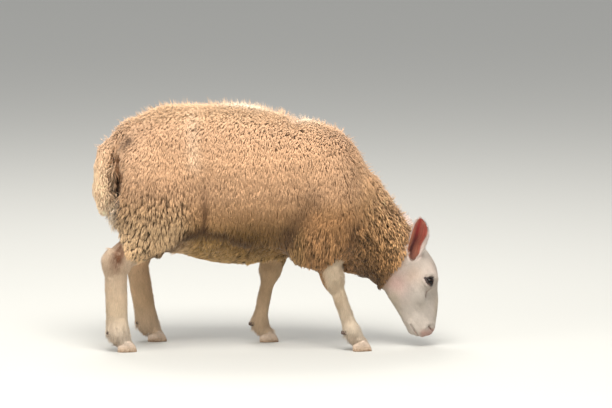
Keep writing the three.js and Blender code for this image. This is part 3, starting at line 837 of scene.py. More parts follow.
# Folds of the fleece, and pale and dirty marks on it, as lines drawn on the flank.
FLANK_FOLD = [(-0.146, 0.43), (-0.142, 0.36), (-0.141, 0.3)]
THIGH_FOLD = [(-0.142, 0.3), (-0.177, 0.291), (-0.204, 0.272), (-0.232, 0.247), (-0.281, 0.218)]
BELLY_FOLD = [(-0.185, 0.284), (-0.15, 0.291), (-0.115, 0.292), (-0.08, 0.28), (-0.04, 0.262)]
ELBOW_FOLD = [(0.112, 0.365), (0.084, 0.326), (0.056, 0.284), (0.056, 0.262)]
CHEST_FOLD = [(0.212, 0.3), (0.2, 0.24)]
TAIL_FOLD = [(-0.353, 0.405), (-0.354, 0.352)]
PALE_SEAM = [(-0.172, 0.55), (-0.17, 0.5), (-0.166, 0.45)]
DIRT = [(-0.346, 0.478), (-0.33, 0.486), (-0.318, 0.494)]
HOCK_STAIN = [(-0.339, 0.26), (-0.347, 0.236), (-0.357, 0.212)]


def creases(points):
    """Folds of the fleece, from 0 to 1: before the thigh, under it, along the belly, behind the
    elbow, at the chest, and beside the tail."""
    x, y, z = points.T
    aside = smooth(np.abs(y), 0.03, 0.06)
    wobble = 3 * MM * np.stack([mottle(points, 0.016), 0 * x, mottle(points + 0.7, 0.016)], axis=1)
    moved = points + wobble
    return [
        near_line(moved, FLANK_FOLD, 0.011) * smooth(-z, -0.43, -0.33),
        near_line(moved, THIGH_FOLD, 0.010) * aside,
        near_line(moved, BELLY_FOLD, 0.011) * aside,
        near_line(moved, ELBOW_FOLD, 0.024) * (0.45 + 0.55 * smooth(-z, -0.35, -0.28)),
        near_line(moved, CHEST_FOLD, 0.013),
        near_line(points, TAIL_FOLD, 0.0075) * smooth(-np.abs(y), -0.11, -0.08),
    ]


# Painted shade in the folds, in their order: how much of each tone shows, and the tone.
CREASE_SHADE_TONES = [
    (0.72, (92, 60, 38)),
    (0.78, (78, 54, 34)),
    (0.85, (74, 52, 32)),
    (0.85, (64, 42, 26)),
    (0.7, (108, 78, 52)),
    (0.98, (26, 16, 11)),
]
# The tones of the body from the belly up, and of the neck from the throat up. Their darker
# low tones, darkest under the flank's overhang and at the throat, are partly the wool's own
# colour and partly painted shade.
BODY_HEIGHTS = [0.19, 0.25, 0.29, 0.33, 0.38, 0.48, 0.56, 0.59]
BODY_TONES = [
    (186, 152, 102),
    (166, 132, 82),
    (146, 112, 68),
    (180, 139, 98),
    (205, 162, 124),
    (211, 168, 131),
    (214, 172, 137),
    (230, 192, 155),
]
NECK_HEIGHTS = [0.14, 0.235, 0.31, 0.4]
NECK_TONES = [(66, 47, 28), (172, 129, 84), (214, 167, 118), (222, 178, 136)]


def fleece_colours(points, normals):
    """Warm cream wool, darker low down, partly its own colour and partly painted shade, and
    palest along the back, painted top light where it faces up.
    """
    x, y, z = points.T
    # The dark low flank behind the elbow: partly its dark curls and partly painted shade.
    low_flank = bell(x + 0.03, 0.075) * bell(z - 0.272, 0.036)
    shoulder = smooth(x, 0.078, 0.115) * smooth(-z, -0.37, -0.31)
    rump = smooth(-x, 0.22, 0.34) * smooth(z, 0.34, 0.5)
    thigh = smooth(-x, 0.16, 0.22) * smooth(-z, -0.4, -0.27)
    # The tail is painted palest: its own pale wool, and painted light against the shade on its
    # rear.
    tail = smooth(-x, 0.357, 0.365) * smooth(-z, -0.52, -0.4)
    under_tail = bell(x + 0.368, 0.026) * bell(z - 0.295, 0.05) * smooth(-np.abs(y), -0.11, -0.09)
    colour = painted(
        ramp(z, BODY_HEIGHTS, BODY_TONES),
        (0.85 * low_flank, (92, 64, 26)),
        (0.85 * shoulder, (186, 138, 93)),
        (0.7 * rump, (204, 166, 133)),
        (0.8 * thigh, (246, 207, 162)),
        (0.95 * tail, (255, 218, 179)),
        (0.9 * under_tail, (244, 228, 204)),
    )
    # The neck darkens towards the throat: darker brown tips, and painted shade under the neck.
    neck = ramp(z - 0.9 * (0.27 - x), NECK_HEIGHTS, NECK_TONES)
    colour = laid_over(colour, neck, 0.85 * smooth(x, 0.19, 0.25))
    # Paler wool where the back faces up, painted top light, whitest where the fleece parts on it.
    along_back = smooth(normals[:, 2], 0.6, 0.95) * smooth(z, 0.48, 0.56)
    parting = bell(y + 0.004, 0.024) * (bell(x + 0.05, 0.055) + bell(x - 0.085, 0.035))
    # Dirt by the dock, and the shadowed wool between the forelegs.
    dirt = near_line(points, DIRT, 0.009) * ((y < -0.03) * smooth(mottle(points, 0.012), -0.9, 0.1))
    armpit = bell(np.linalg.norm((points - (0.1, 0, 0.24)) * (1, 0.5, 1), axis=1), 0.09)
    # The folds are painted dark: painted shade.
    folds = zip(creases(points), CREASE_SHADE_TONES)
    colour = painted(
        colour,
        (0.75 * along_back, (226, 187, 146)),
        (0.9 * along_back * parting, (250, 234, 212)),
        *((share * fold, each) for fold, (share, each) in folds),
        (0.3 * near_line(points, PALE_SEAM, 0.017), (248, 218, 186)),
        (0.9 * dirt, (66, 42, 26)),
        (0.6 * armpit, (128, 94, 64)),
    )
    return colour * (1 + 0.07 * mottle(points, 0.09) + 0.05 * mottle(points, 0.025))[:, None]


def hair_colours(points, normals):
    """White hair with the pink of the skin showing through where it is thin."""
    head, _ = mirrored(points)
    down, out, _ = head.T
    near_eye = away(head, EYE_AT) < EYE_REGION + 2
    gap = lid_gap(head)
    colour = painted(
        np.broadcast_to(tone(200, 187, 174), points.shape),
        # Cheek, temple, the pale side of the nose, and brow.
        (0.85 * bell(away(head, (4, -76, 50)), 36), (196, 158, 146)),
        (0.6 * bell(away(head, (-16, -34, 46)), 24), (190, 162, 140)),
        (0.6 * bell(away(head, (36, -26, 44)), 40), (206, 196, 184)),
        (0.75 * bell(away(head, (-22, 14, 20)), 34), (190, 170, 154)),
        # By the wool, along the bridge of the nose, the jaw, and the muzzle.
        (0.55 * smooth(-ahead_of_wool(points), -26, -4), (176, 136, 106)),
        (0.7 * (smooth(out, 4, 18) * smooth(down, 20, 60)), (190, 174, 154)),
        (0.7 * (smooth(-out, 62, 84) * smooth(down, 0, 40)), (190, 176, 154)),
        (0.75 * (smooth(down, 112, 128) * smooth(out, -34, -20)), (196, 150, 138)),
        # Bare rims: round the eye, in the pit below it, the nostrils and the lips.
        (0.6 * near_eye * smooth(gap, -7, -2.5), (184, 164, 156)),
        # The dark rim round the eye: the lids' dark skin, widened with painted shade of the lids
        # and lashes.
        (0.97 * near_eye * smooth(gap, -3.6, -2.2), (27, 19, 17)),
        (0.5 * beside(head, TEAR, 2.4), (150, 116, 104)),
        (0.8 * beside(head, PIT, 2.6), (112, 72, 64)),
        (0.9 * beside(head, NOSTRIL, 2.4), (96, 56, 52)),
        (0.7 * beside(head, LIPS, 1.7), (134, 98, 90)),
        (0.7 * beside(head, CLEFT, 1.8), (132, 92, 84)),
    )
    for leg in LIMBS:
        colour = np.where(leg.near(points)[:, None], leg_hair(leg, points), colour)
    for ear in EARS:
        colour = laid_over(colour, ear_hair(ear, points, normals), ear.share(points, 3.5))
    return colour * (0.83 + 0.05 * mottle(points, 0.03) + 0.04 * mottle(points, 0.009))[:, None]


def leg_hair(leg, points):
    x, y, z = points.T
    if leg.kind == "hind":
        colour = ramp(z, [0.03, 0.1, 0.22], [(242, 226, 208), (236, 212, 182), (242, 214, 186)])
        patchy = 0.6 + 0.45 * smooth(mottle(points, 0.008), -0.6, 0.3)
        colour = painted(colour, (near_line(points, HOCK_STAIN, 0.016) * patchy, (112, 58, 20)))
    else:
        colour = ramp(z, [0.03, 0.12, 0.2], [(244, 228, 208), (232, 210, 182), (236, 214, 186)])
        # The inner side of each foreleg is painted darker: painted shade between the legs.
        inner_side = smooth(-y * leg.side, -abs(leg.hem[1]), -abs(leg.hem[1]) + 0.03)
        colour = painted(colour, (0.4 * inner_side, (178, 150, 118)))
    # The far legs are painted browner and darker: partly their own brownish hair and partly painted
    # warm shade.
    colour = colour * ((0.94, 0.82, 0.68) if leg.side > 0 else (0.96, 0.94, 0.9))
    rear = smooth(leg.foot[0] - x, -0.03, 0.02)
    muddy = smooth(-z, -0.05, -0.025) * smooth(mottle(points, 0.02), -0.2, 1.1)
    return painted(colour, (0.45 * muddy + 0.12 * rear, (158, 124, 90)))


# The hollow of an ear from its root to its tip, and the dark vein along it: where the vein lies,
# how wide it is, and its tones.
EAR_STOPS = [0.02, 0.2, 0.5, 0.8, 0.97]
EAR_TONES = [(118, 84, 68), (150, 100, 78), (166, 104, 84), (176, 108, 92), (196, 140, 120)]
VEIN_PLACES = [0.1, 0.28, 0.47, 0.86], [-2.5, -1.5, 2.5, 2.0]
VEIN_WIDTHS = [0.1, 0.3, 0.47, 0.8], [4.5, 7.0, 8.5, 5.0]
VEIN_STOPS = [0.08, 0.25, 0.42, 0.65, 0.92]
VEIN_TONES = [(104, 66, 48), (72, 26, 28), (92, 18, 20), (150, 24, 24), (176, 60, 50)]


def ear_hair(ear, points, normals):
    """Pink-red inside, darkest in the hollow, with white on the back and the edges."""
    across = ear.measured(points)[1]
    along, aside = ear.from_seat(points)
    # A red glow towards the front edge: painted light shining through the ear.
    painted_glow = bell(aside - 19, 5) * bell(along - 0.6, 0.3)
    inside = painted(ramp(along, EAR_STOPS, EAR_TONES), (0.6 * painted_glow, (188, 90, 78)))
    vein = bell(aside - np.interp(along, *VEIN_PLACES), np.interp(along, *VEIN_WIDTHS))
    inside = laid_over(inside, ramp(along, VEIN_STOPS, VEIN_TONES), 0.95 * vein)
    tanned = smooth(-aside, -2, 8) * smooth(-along, -0.85, -0.5) * (1 - vein)
    inside = painted(inside, (0.6 * tanned, (188, 134, 98))) * (0.95, 0.73, 0.66)
    inside = inside * (1 + 0.14 * np.cos(24 * across + 3 * mottle(points, 0.012)))[:, None]
    return laid_over(tone(236, 216, 204), inside, ear.hollow(points, normals))


def wool_only(points):
    """1 in the fleece and 0 on all short hair, the ears' as well."""
    wool = woolliness(points)
    for ear in EARS:
        wool = wool * (1 - ear.share(points))
    return wool


def markings(points, normals):
    wool = wool_only(points)
    return laid_over(hair_colours(points, normals), fleece_colours(points, normals), wool)


def paint_mesh(mesh, colours):
    """Stores one colour for each vertex, which the materials read."""
    layer = mesh.attributes.new("coat", "FLOAT_COLOR", "POINT")
    whole = np.ones((len(mesh.vertices), 4), np.float32)
    whole[:, :3] = np.clip(colours, 0, 1)
    layer.data.foreach_set("color", whole.ravel())


# --- Coat ---


class Ground:
    """The skin as triangles, to sow roots on."""

    OVERSOWN = 2.6  # roots sown for each that is wanted, before each cell keeps one
    CELL = 0.94  # the size of a cell, as a share of the spacing

    def __init__(self, mesh):
        mesh.calc_loop_triangles()
        self.corners = read(mesh.loop_triangles, "vertices", 3, int)
        self.points, self.normals = points_of(mesh), normals_of(mesh)
        a, b, c = (self.points[self.corners[:, i]] for i in range(3))
        self.area = np.linalg.norm(np.cross(b - a, c - a), axis=1) / 2

    def sown(self, spacing, wanted):
        """Roots and normals about the spacing apart, where wanted, a test on places, is 1."""
        share = self.area * wanted(self.points)[self.corners].mean(axis=1)
        count = int(share.sum() / spacing**2 * self.OVERSOWN)
        chosen = rng.choice(len(share), count, p=share / share.sum())
        weights = rng.dirichlet((1, 1, 1), count)
        corners = self.corners[chosen]
        roots = (self.points[corners] * weights[:, :, None]).sum(axis=1)
        normals = unit((self.normals[corners] * weights[:, :, None]).sum(axis=1))
        cells = np.floor(roots / (spacing * self.CELL) + rng.uniform(0, 1, 3)).astype(int)
        _, first = np.unique(cells, axis=0, return_index=True)
        return roots[first], normals[first]


def staples(ground, points, spacing, stretch, wide):
    """Sows the middles of staples, taller than wide by the stretch. Gives how many there are,
    the staple that each place is in, and how near it is to a crack between two, from 0 to 1,
    where the cracks are wide by a share of the spacing."""
    seeds, _ = ground.sown(spacing, lambda p: smooth(wool_only(p), 0.3, 0.5))
    scale = np.array([1, 1, 1 / stretch])
    tree = KDTree(len(seeds))
    for i, seed in enumerate(seeds * scale):
        tree.insert(seed, i)
    tree.balance()
    inside, gap = np.empty(len(points), int), np.empty(len(points))
    for i, point in enumerate(points * scale):
        (_, inside[i], first), (_, _, second) = tree.find_n(point, 2)
        gap[i] = second - first
    return len(seeds), inside, 1 - smooth(gap / spacing * math.sqrt(stretch), 0.04, wide)


def laid(directions, normals):
    """The directions, flattened onto the skin."""
    return unit(directions - (directions * normals).sum(axis=1, keepdims=True) * normals)


def turned(lies, normals, angles):
    side = np.cross(normals, lies)
    return lies * np.cos(angles)[:, None] + side * np.sin(angles)[:, None]


# Where the rings of a tuft lie along it, and how wide it is at each.
LOCK_RINGS = (0.0, 0.8), (0.56, 1.0)
HAIR_RINGS = (0.0, 1.0), (0.55, 0.8)
PATCH = 0.003  # the size of a tuft's patch on the map
ROOT_DEPTH = 1.2 * MM


class Tufts:
    """Many small tufts as one joined mesh: each a few three-sided rings and a tip."""

    def __init__(self, roots, normals, lies, heights, runs, widths, bends, curl=2.2, thick=0.42):
        self.fields = roots, normals, lies, heights, runs, widths, bends, curl, thick
        self.roots, self.normals, self.lies, self.heights, self.runs = self.fields[:5]
        self.widths, self.bends, self.curl, self.thick = self.fields[5:]
        self.across = unit(np.cross(normals, lies))
        self.tips = self.at(1.0)

    def part(self, chosen):
        """Some of the tufts, with their tips as they are gathered."""
        part = Tufts(*(field[chosen] for field in self.fields))
        part.tips = self.tips[chosen]
        return part

    def at(self, t):
        """Where the middle of each tuft is, a share t along it."""
        up = self.heights * (1 - (1 - t) ** self.curl) - ROOT_DEPTH * (1 - t) ** 2
        aside = self.bends * self.runs * (t**2 - 0.5 * t)
        along = self.lies * (self.runs * t**1.25)[:, None]
        return self.roots + self.normals * up[:, None] + along + self.across * aside[:, None]

    def gathered(self, clump, share):
        """Draws the tips together in each clump."""
        sums = np.stack([np.bincount(clump, self.tips[:, i]) for i in range(3)], axis=1)
        counts = np.maximum(np.bincount(clump), 1)
        centre = (sums / counts[:, None])[clump]
        self.tips = self.tips + (centre - self.tips) * np.broadcast_to(share, len(clump))[:, None]

    def layers(self, rings, root_tones, tip_tones):
        """The corners of each tuft from its root to its tip, with their tones, and where each
        lies in the tuft's patch of the map."""
        drawn = self.tips - self.at(1.0)
        layers, tones, patches = [], [], []
        for t, girth in rings:
            centre = self.at(t) + drawn * t**1.5
            ahead = unit(self.at(t + 0.05) - self.at(t) + drawn * 0.05)
            up = np.cross(ahead, self.across) * (self.widths * girth * self.thick)[:, None]
            half = self.across * (self.widths * girth / 2)[:, None]
            layers += [centre - half, centre + up, centre + half]
            # Painted shade: each lock darkens towards its root; its ridge is painted lighter than
            # its sides, a painted highlight.
            tone_here = root_tones + (tip_tones - root_tones) * t**0.9
            tones += [tone_here * 0.94, tone_here * 1.05, tone_here * 0.94]
            patches += [(0, t), (0.5, t + 0.12), (1, t)]
        return [*layers, self.tips], [*tones, tip_tones], [*patches, (0.5, 1.12)]

    def mesh(self, name, rings, root_tones, tip_tones, unwrapped):
        layers, tones, patches = self.layers(rings, root_tones, tip_tones)
        size = len(layers)
        points = np.stack(layers, axis=1).reshape(-1, 3)
        faces = [(0, 2, 1)]
        for base in range(0, size - 4, 3):
            for a, b in ((base, base + 1), (base + 1, base + 2), (base + 2, base)):
                faces += [(a, b, b + 3), (a, b + 3, a + 3)]
        last = size - 4
        faces += [(last + i, last + (i + 1) % 3, size - 1) for i in range(3)]
        faces = np.array(faces)[:, ::-1]
        first = np.arange(len(self.roots)) * size
        corners = (faces[None] + first[:, None, None]).reshape(-1)
        mesh = bpy.data.meshes.new(name)
        mesh.vertices.add(len(points))
        mesh.vertices.foreach_set("co", np.ascontiguousarray(points, np.float32).ravel())
        mesh.loops.add(len(corners))
        mesh.loops.foreach_set("vertex_index", corners)
        mesh.polygons.add(len(corners) // 3)
        mesh.polygons.foreach_set("loop_start", np.arange(0, len(corners), 3))
        mesh.update(calc_edges=True)
        mesh.polygons.foreach_set("use_smooth", np.ones(len(corners) // 3, bool))
        paint_mesh(mesh, np.stack(tones, axis=1).reshape(-1, 3))
        # Turned halfway to the skin's, the normals let light fall on the coat softly.
        outward = np.repeat(self.normals, size, axis=0)
        mesh.normals_split_custom_set_from_vertices(unit(normals_of(mesh) + outward).tolist())
        spots = unwrapped(self.roots)[:, None, :] + (np.array(patches) - 0.5)[None] * PATCH
        layer = mesh.uv_layers.new(name="OFBake")
        spots = np.ascontiguousarray(spots.reshape(-1, 2)[corners], np.float32)
        layer.data.foreach_set("uv", spots.ravel())
        return new_piece(name, mesh)


def wrapped_round(start, end, roots):
    """An unwrap of the skin round a line: the angle about it, and how far along it lies."""
    start, end = np.asarray(start, float), np.asarray(end, float)
    axis = unit(end - start)
    side = unit(np.cross(axis, (0.0, 0.0, 1.0) if abs(axis[2]) < 0.9 else (1.0, 0.0, 0.0)))
    other = np.cross(axis, side)

    def measure(points):
        offset = points - start
        angle = np.arctan2(offset @ side, offset @ other) / (2 * math.pi) + 0.5
        return np.stack([angle, offset @ axis], axis=1)

    known = measure(roots)
    low, high = known.min(axis=0), known.max(axis=0)
    return lambda points: 0.01 + 0.98 * (measure(points) - low) / np.maximum(high - low, 1e-6)


def comb_fleece(points, normals):
    """Which way the wool hangs: out and back from the line of the back, then down."""
    x, y, _ = points.T
    up = normals[:, 2]
    combed = np.tile([-0.07, 0.0, -1.0], (len(points), 1))
    combed[:, 2] *= 1 - 0.9 * smooth(up, 0.55, 0.9)
    combed[:, 1] += 0.9 * np.tanh(y / 0.03) * smooth(up, 0.3, 0.9)
    combed[:, 0] -= 0.5 * smooth(up, 0.5, 0.95)
    combed[:, 0] -= 0.3 * smooth(-x, 0.24, 0.31) * smooth(x, -0.35, -0.325)
    combed[:, 0] += 0.35 * smooth(x, 0.16, 0.26)
    combed[:, 0] -= 1.0 * smooth(-up, 0.5, 0.9)
    return combed


SHORTEST, LONGEST = 3.0, 27.0  # how far the wool reaches out of the skin, in millimetres
SHORTEST_RUN = 4 * MM
WISP_CURL, WISP_GATHER, WISP_WIDTH = 1.3, 0.7, 0.5


def fleece_rules(points, normals, reach):
    """How the wool grows at each root: sizes in millimetres, and shares from 0 to 1."""
    x, y, z = points.T
    up = normals[:, 2]
    back = smooth(up, 0.6, 0.95) * smooth(z, 0.48, 0.56)
    tail = in_box(points, "tail", 2 * MM) & (np.abs(y) < 0.045) & (x < -0.362)
    thigh = smooth(-x, 0.14, 0.2) * smooth(-z, -0.45, -0.34) * (1 - back) * ~tail
    neck = smooth(x - 0.4 * (z - 0.3), 0.19, 0.26)
    belly = smooth(-up, 0.2, 0.8) * (1 - thigh) * smooth(-z, -0.3, -0.24)
    full = np.clip(reach / 18, 0.15, 1.5)
    folds = creases(points)
    hem = np.zeros(len(points))
    for leg in LIMBS:
        edge = smooth(-leg.above_wool_edge(points), -34, -6) * (away(points, leg.hem) < 0.08)
        hem = np.maximum(hem, edge)
    under_tail = bell(x + 0.35, 0.03) * bell(z - 0.318, 0.05)
    under_tail = under_tail * smooth(-np.abs(y), -0.115, -0.09) * ~tail
    calm = smooth(z, 0.4, 0.5) * (1 - thigh)
    low = smooth(-z + 0.25 * neck, -0.34, -0.26) * (1 - thigh) * ~tail
    height = (reach * (0.92 + 0.04 * back) + 18 * under_tail) * (1 - 0.45 * np.max(folds, axis=0))
    run = (26 - 6 * calm) * full**0.5 - 5 * thigh - 8 * neck - 8 * belly
    run = run + 16 * under_tail - 9 * tail
    gather = 0.1 + 0.12 * thigh * (1 - hem) + 0.15 * neck + 0.1 * belly + 0.1 * tail
    # Cracks between staples lower the locks and are painted darker, painted shade, most low down.
    crack = 0.12 + 0.76 * thigh + 0.2 * neck - 0.12 * calm + 0.08 * tail + 0.5 * low
    return {
        "height": height * (1 - 0.8 * folds[-1]) * (1 - 0.35 * hem),
        "run": np.maximum(run * (1 - 0.15 * back) * (1 - 0.2 * hem), 10),
        "width": 1.95 + 0.7 * thigh + 0.1 * calm,
        "gather": gather - 0.06 * calm,
        "uneven": 0.035 + 0.04 * thigh + 0.03 * neck,
        # Roots painted darker than tips: painted shade in the coat. Low down, painted shade and
        # light spread further apart; on top, roots painted lighter, painted light against the shade
        # between locks.
        "dark": 0.88 - 0.24 * thigh - 0.1 * neck + 0.26 * calm + 0.06 * tail - 0.3 * low,
        "bright": 1.1 - 0.04 * calm + 0.2 * low,
        "speckle": 0.05 + 0.17 * low,
        "crack": np.maximum(crack, 0),
        "thick": 0.42 - 0.16 * calm,
        "steady": 1 - 0.5 * calm,
        "curl": 3.2 - 0.8 * thigh - 0.4 * neck,
        "back": back,
        "ridge": bell(y, 0.07) * smooth(up, 0.15, 0.6),
        "coarse": thigh > 0.5,
    }


# Each part of the fleece, with the line it is unwrapped round.
FLEECE_PARTS = {
    "fleece_tail": ((-0.385, 0, 0.33), (-0.35, 0, 0.55)),
    "fleece_rump": ((-0.40, 0, 0.42), (-0.24, 0, 0.42)),
    "fleece_loin": ((-0.24, 0, 0.42), (-0.13, 0, 0.42)),
    "fleece_flank": ((-0.13, 0, 0.42), (-0.03, 0, 0.42)),
    "fleece_ribs": ((-0.03, 0, 0.42), (0.07, 0, 0.42)),
    "fleece_shoulder": ((0.07, 0, 0.42), (0.2, 0, 0.42)),
    "fleece_neck": ((0.17, 0, 0.42), (0.34, 0, 0.22)),
    "fleece_thighs": ((-0.25, 0, 0.18), (-0.25, 0, 0.4)),
}
FLEECE_SPACING = 2.75 * MM
SECTIONS = [-np.inf, -0.235, -0.13, -0.03, 0.07, np.inf]
# How far apart small and large staples lie, how much taller than wide they are, and how wide
# the cracks between them are.
SMALL_STAPLES, LARGE_STAPLES = (6.0 * MM, 3.2, 0.4), (13.5 * MM, 1.9, 0.3)


def fleece_parts(roots):
    """Which roots belong to each part of the fleece, in the order of its names."""
    x, y, z = roots.T
    tail_end = box_of("tail")[1][0] - 0.075
    tail = (x < tail_end + (z - 0.33) * 0.32) & (np.abs(y) < 0.036) & (z < 0.53)
    neck = ~tail & (x - 0.5 * (z - 0.35) > 0.185)
    thighs = ~tail & ~neck & (z < 0.335) & (x < -0.14)
    body = ~tail & ~neck & ~thighs
    bands = [body & (x >= a) & (x < b) for a, b in zip(SECTIONS, SECTIONS[1:])]
    return [tail, *bands, neck, thighs]


def fleece(ground):
    """The wool, in small staples on the body and large ones on the thighs, as several pieces."""
    roots, normals = ground.sown(FLEECE_SPACING, lambda p: smooth(wool_only(p), 0.35, 0.6))
    count = len(roots)
    lies = laid(comb_fleece(roots, normals), normals)
    found = reach_of_solids(roots, normals) - dips(roots)
    rules = fleece_rules(roots, normals, np.clip(found, SHORTEST, LONGEST))
    # Each lock is seen most of the way along its run, so it takes its staple and tone from there.
    seen = roots + lies * (0.7 * rules["run"] * MM)[:, None]
    small_count, of_small, small_crack = staples(ground, seen, *SMALL_STAPLES)
    large_count, of_large, large_crack = staples(ground, seen, *LARGE_STAPLES)
    # The locks of one staple reach about as far as each other.
    mean = np.bincount(of_large, found) / np.maximum(np.bincount(of_large), 1)
    reach = np.clip(0.25 * found + 0.75 * mean[of_large], SHORTEST, LONGEST)
    rules = fleece_rules(roots, normals, reach)
    height, uneven, steady = rules["height"], rules["uneven"], rules["steady"]
    clump = np.where(rules["coarse"], of_large + small_count, of_small)
    crack = np.where(rules["coarse"], np.maximum(large_crack, 0.35 * small_crack), small_crack)
    crack = crack * rules["crack"]
    staple = rng.normal(size=(small_count + large_count, 4))[clump]
    single = rng.normal(size=(count, 4))
    swirl = 0.06 * mottle(roots, 0.07) + 0.8 * uneven * staple[:, 0]
    lies = turned(lies, normals, swirl + 0.1 * steady * single[:, 0])
    heights = height * (1 + uneven * (staple[:, 1] + 0.8 * single[:, 1]))
    heights = np.clip(heights, 0.25 * height, 1.1 * height) * (1 - 0.75 * crack) * MM
    runs = rules["run"] * (1 + 0.08 * staple[:, 2] + 0.15 * single[:, 2]) * MM
    runs = np.maximum(runs, SHORTEST_RUN)
    widths = rules["width"] * np.exp(0.16 * rng.normal(size=count)) * MM
    # Thin wisps stand out of the fleece in points, most of all along the back.
    spiky = rules["ridge"] * (0.1 + 0.7 * smooth(staple[:, 2], 0.5, 0.9))
    wispy = rng.uniform(0, 1, count) < 0.008 + 0.06 * rules["back"] + spiky
    taller = (7 + 6 * np.clip(staple[:, 3] + 0.5, 0, 2)) * rng.uniform(0.6, 1.2, count)
    heights = np.where(wispy, heights + taller * (0.4 + 0.6 * rules["ridge"]) * MM, heights)
    runs = np.where(wispy, runs * rng.uniform(0.2, 0.5, count), runs)
    widths = np.where(wispy, widths * WISP_WIDTH, widths)
    bends = (0.12 + rules["gather"]) * 0.6 * mottle(roots, 0.03)
    bends = bends + 0.12 * steady * rng.normal(size=count)
    curl = np.where(wispy, WISP_CURL, rules["curl"])
    tufts = Tufts(roots, normals, lies, heights, runs, widths, bends, curl, rules["thick"])
    groups = clump + wispy * (small_count + large_count)
    tufts.gathered(groups, np.where(wispy, WISP_GATHER, rules["gather"]))
    # Roots and cracks are painted darker and tips lighter: painted shade and light in the coat.
    base = fleece_colours(seen, normals)
    speckle = steady * rules["speckle"] * (1.2 * staple[:, 3] + single[:, 3])
    shade = (1 + speckle) * (1 - crack)
    tip_tones = base * (rules["bright"] * shade)[:, None]
    root_tones = base * (rules["dark"] * shade)[:, None] * (1.0, 0.95, 0.9)
    pieces = []
    for (name, line), here in zip(FLEECE_PARTS.items(), fleece_parts(roots)):
        unwrapped = wrapped_round(*line, roots[here])
        tones = root_tones[here], tip_tones[here]
        pieces.append(tufts.part(here).mesh(name, LOCK_RINGS, *tones, unwrapped))
    return pieces


def comb_hair(points):
    """Short hair: away from the nose on the face, towards the tips of the ears, down the legs."""
    up_face = -HEAD_AXES[0] - 0.45 * HEAD_AXES[1]
    combed = np.tile(up_face, (len(points), 1))
    for leg in LIMBS:
        combed[leg.near(points)] = (-0.12, 0, -1)
    for ear in EARS:
        on_ear = ear.share(points) > 0.3
        across = ear.measured(points)[1]
        combed[on_ear] = ear.axis + 0.5 * (across[:, None] * ear.front)[on_ear]
    return combed


def hair_piece(ground, name, where, spacing, length, lift, width, line):
    roots, normals = ground.sown(spacing * MM, where)
    count = len(roots)
    lies = turned(laid(comb_hair(roots), normals), normals, rng.normal(0, 0.22, count))
    shaggy = np.maximum(shagginess(roots), 0.45 * on_rims(roots))
    heights = (lift + 2.6 * shaggy) * rng.uniform(0.5, 1.3, count) * MM
    runs = (length + 7 * shaggy) * shortness(roots) * rng.uniform(0.7, 1.25, count) * MM
    widths = width * rng.uniform(0.75, 1.3, count) * MM
    keep = hairy(roots, normals)
    fields = [field[keep] for field in (roots, normals, lies, heights, runs, widths)]
    roots, normals = fields[:2]
    tufts = Tufts(*fields, 0.3 * rng.normal(size=len(roots)), thick=0.3)
    base = markings(roots, normals)
    shade = (1 + 0.07 * rng.normal(size=len(roots)))[:, None]
    unwrapped = wrapped_round(*line, roots)
    # The roots are painted darker than the tips: painted shade.
    return tufts.mesh(name, HAIR_RINGS, base * 0.94 * shade, base * 1.07 * shade, unwrapped)


def shortness(points):
    """Less than 1 where the hair is shortest: on the muzzle and round the eyes."""
    head, _ = mirrored(points)
    on_face = points[:, 0] > HEAD_BACK
    muzzle = smooth(head[:, 0], 88, 116) * on_face
    by_eye = bell(away(head, EYE_AT), 24) * on_face
    return 1 - 0.5 * muzzle - 0.35 * by_eye


def shagginess(points):
    """1 behind the shanks and round the pasterns, where the hair is longest."""
    share = np.zeros(len(points))
    for leg in LIMBS:
        height = points[:, 2] - leg.foot[2]
        behind = smooth(leg.fetlock[0] - points[:, 0] + 0.5 * np.abs(height - 0.03), -0.02, 0.03)
        low = smooth(-height, -0.07, -0.02)
        share = np.where(leg.near(points), np.maximum(low, 0.45 * behind), share)
    return share


def bareness(points):
    """1 where the skin is bare: the rims of the lids, the nostrils, the lips and the nose."""
    head, _ = mirrored(points)
    lids = (away(head, EYE_AT) < EYE_REGION) * smooth(lid_gap(head), -3.6, -2.4)
    nose = [(130, 2, 0), *CLEFT[1:]]
    moist = [beside(head, NOSTRIL, 3.4), beside(head, LIPS, 3.2), beside(head, nose, 8)]
    bare = np.maximum(lids, smooth(np.max(moist, axis=0), 0.2, 0.6))
    return bare * (points[:, 0] > HEAD_BACK)


BARE_IN_EARS = 0.72


def hairy(points, normals):
    """Which places carry hair: not the bare skin, and few in the hollows of the ears."""
    in_hollow = np.zeros(len(points), bool)
    for ear in EARS:
        in_hollow |= (ear.share(points) > 0.5) & (ear.hollow(points, normals) > 0.6)
    sparse = in_hollow & (rng.uniform(0, 1, len(points)) < BARE_IN_EARS)
    return (bareness(points) < 0.5) & ~sparse


def hairless(points):
    return 1 - smooth(woolliness(points), 0.5, 0.8)


def on_face(points):
    face = (points[:, 0] > HEAD_BACK - 0.02) & (ahead_of_wool(points) > -8)
    for ear in EARS:
        face = face & (ear.share(points) < 0.5)
    for leg in LIMBS:
        face = face & ~leg.near(points)
    return face * hairless(points)


def short_hair(ground):
    """The hair of the face, ears and legs. Each row gives a piece, where it grows, its spacing,
    length, lift and width in millimetres, and the line it is unwrapped round."""
    rows = [("face", on_face, 2.05, 7.0, 0.5, 0.75, from_head([(150, -30, 0), (-130, -40, 0)]))]
    for ear in EARS:
        on_ear = lambda p, ear=ear: (ear.share(p) > 0.5).astype(float)
        rows.append(("ear_" + ear.name, on_ear, 2.2, 7.5, 1.1, 0.7, (ear.seat, ear.tip)))
    for leg in LIMBS:
        on_leg = lambda p, leg=leg: leg.near(p) * hairless(p)
        rows.append((leg.tag, on_leg, 2.5, 9.0, 1.1, 1.0, (leg.foot, leg.hem)))
    return [hair_piece(ground, "hair_" + name, *rest) for name, *rest in rows]


LASHES = 110


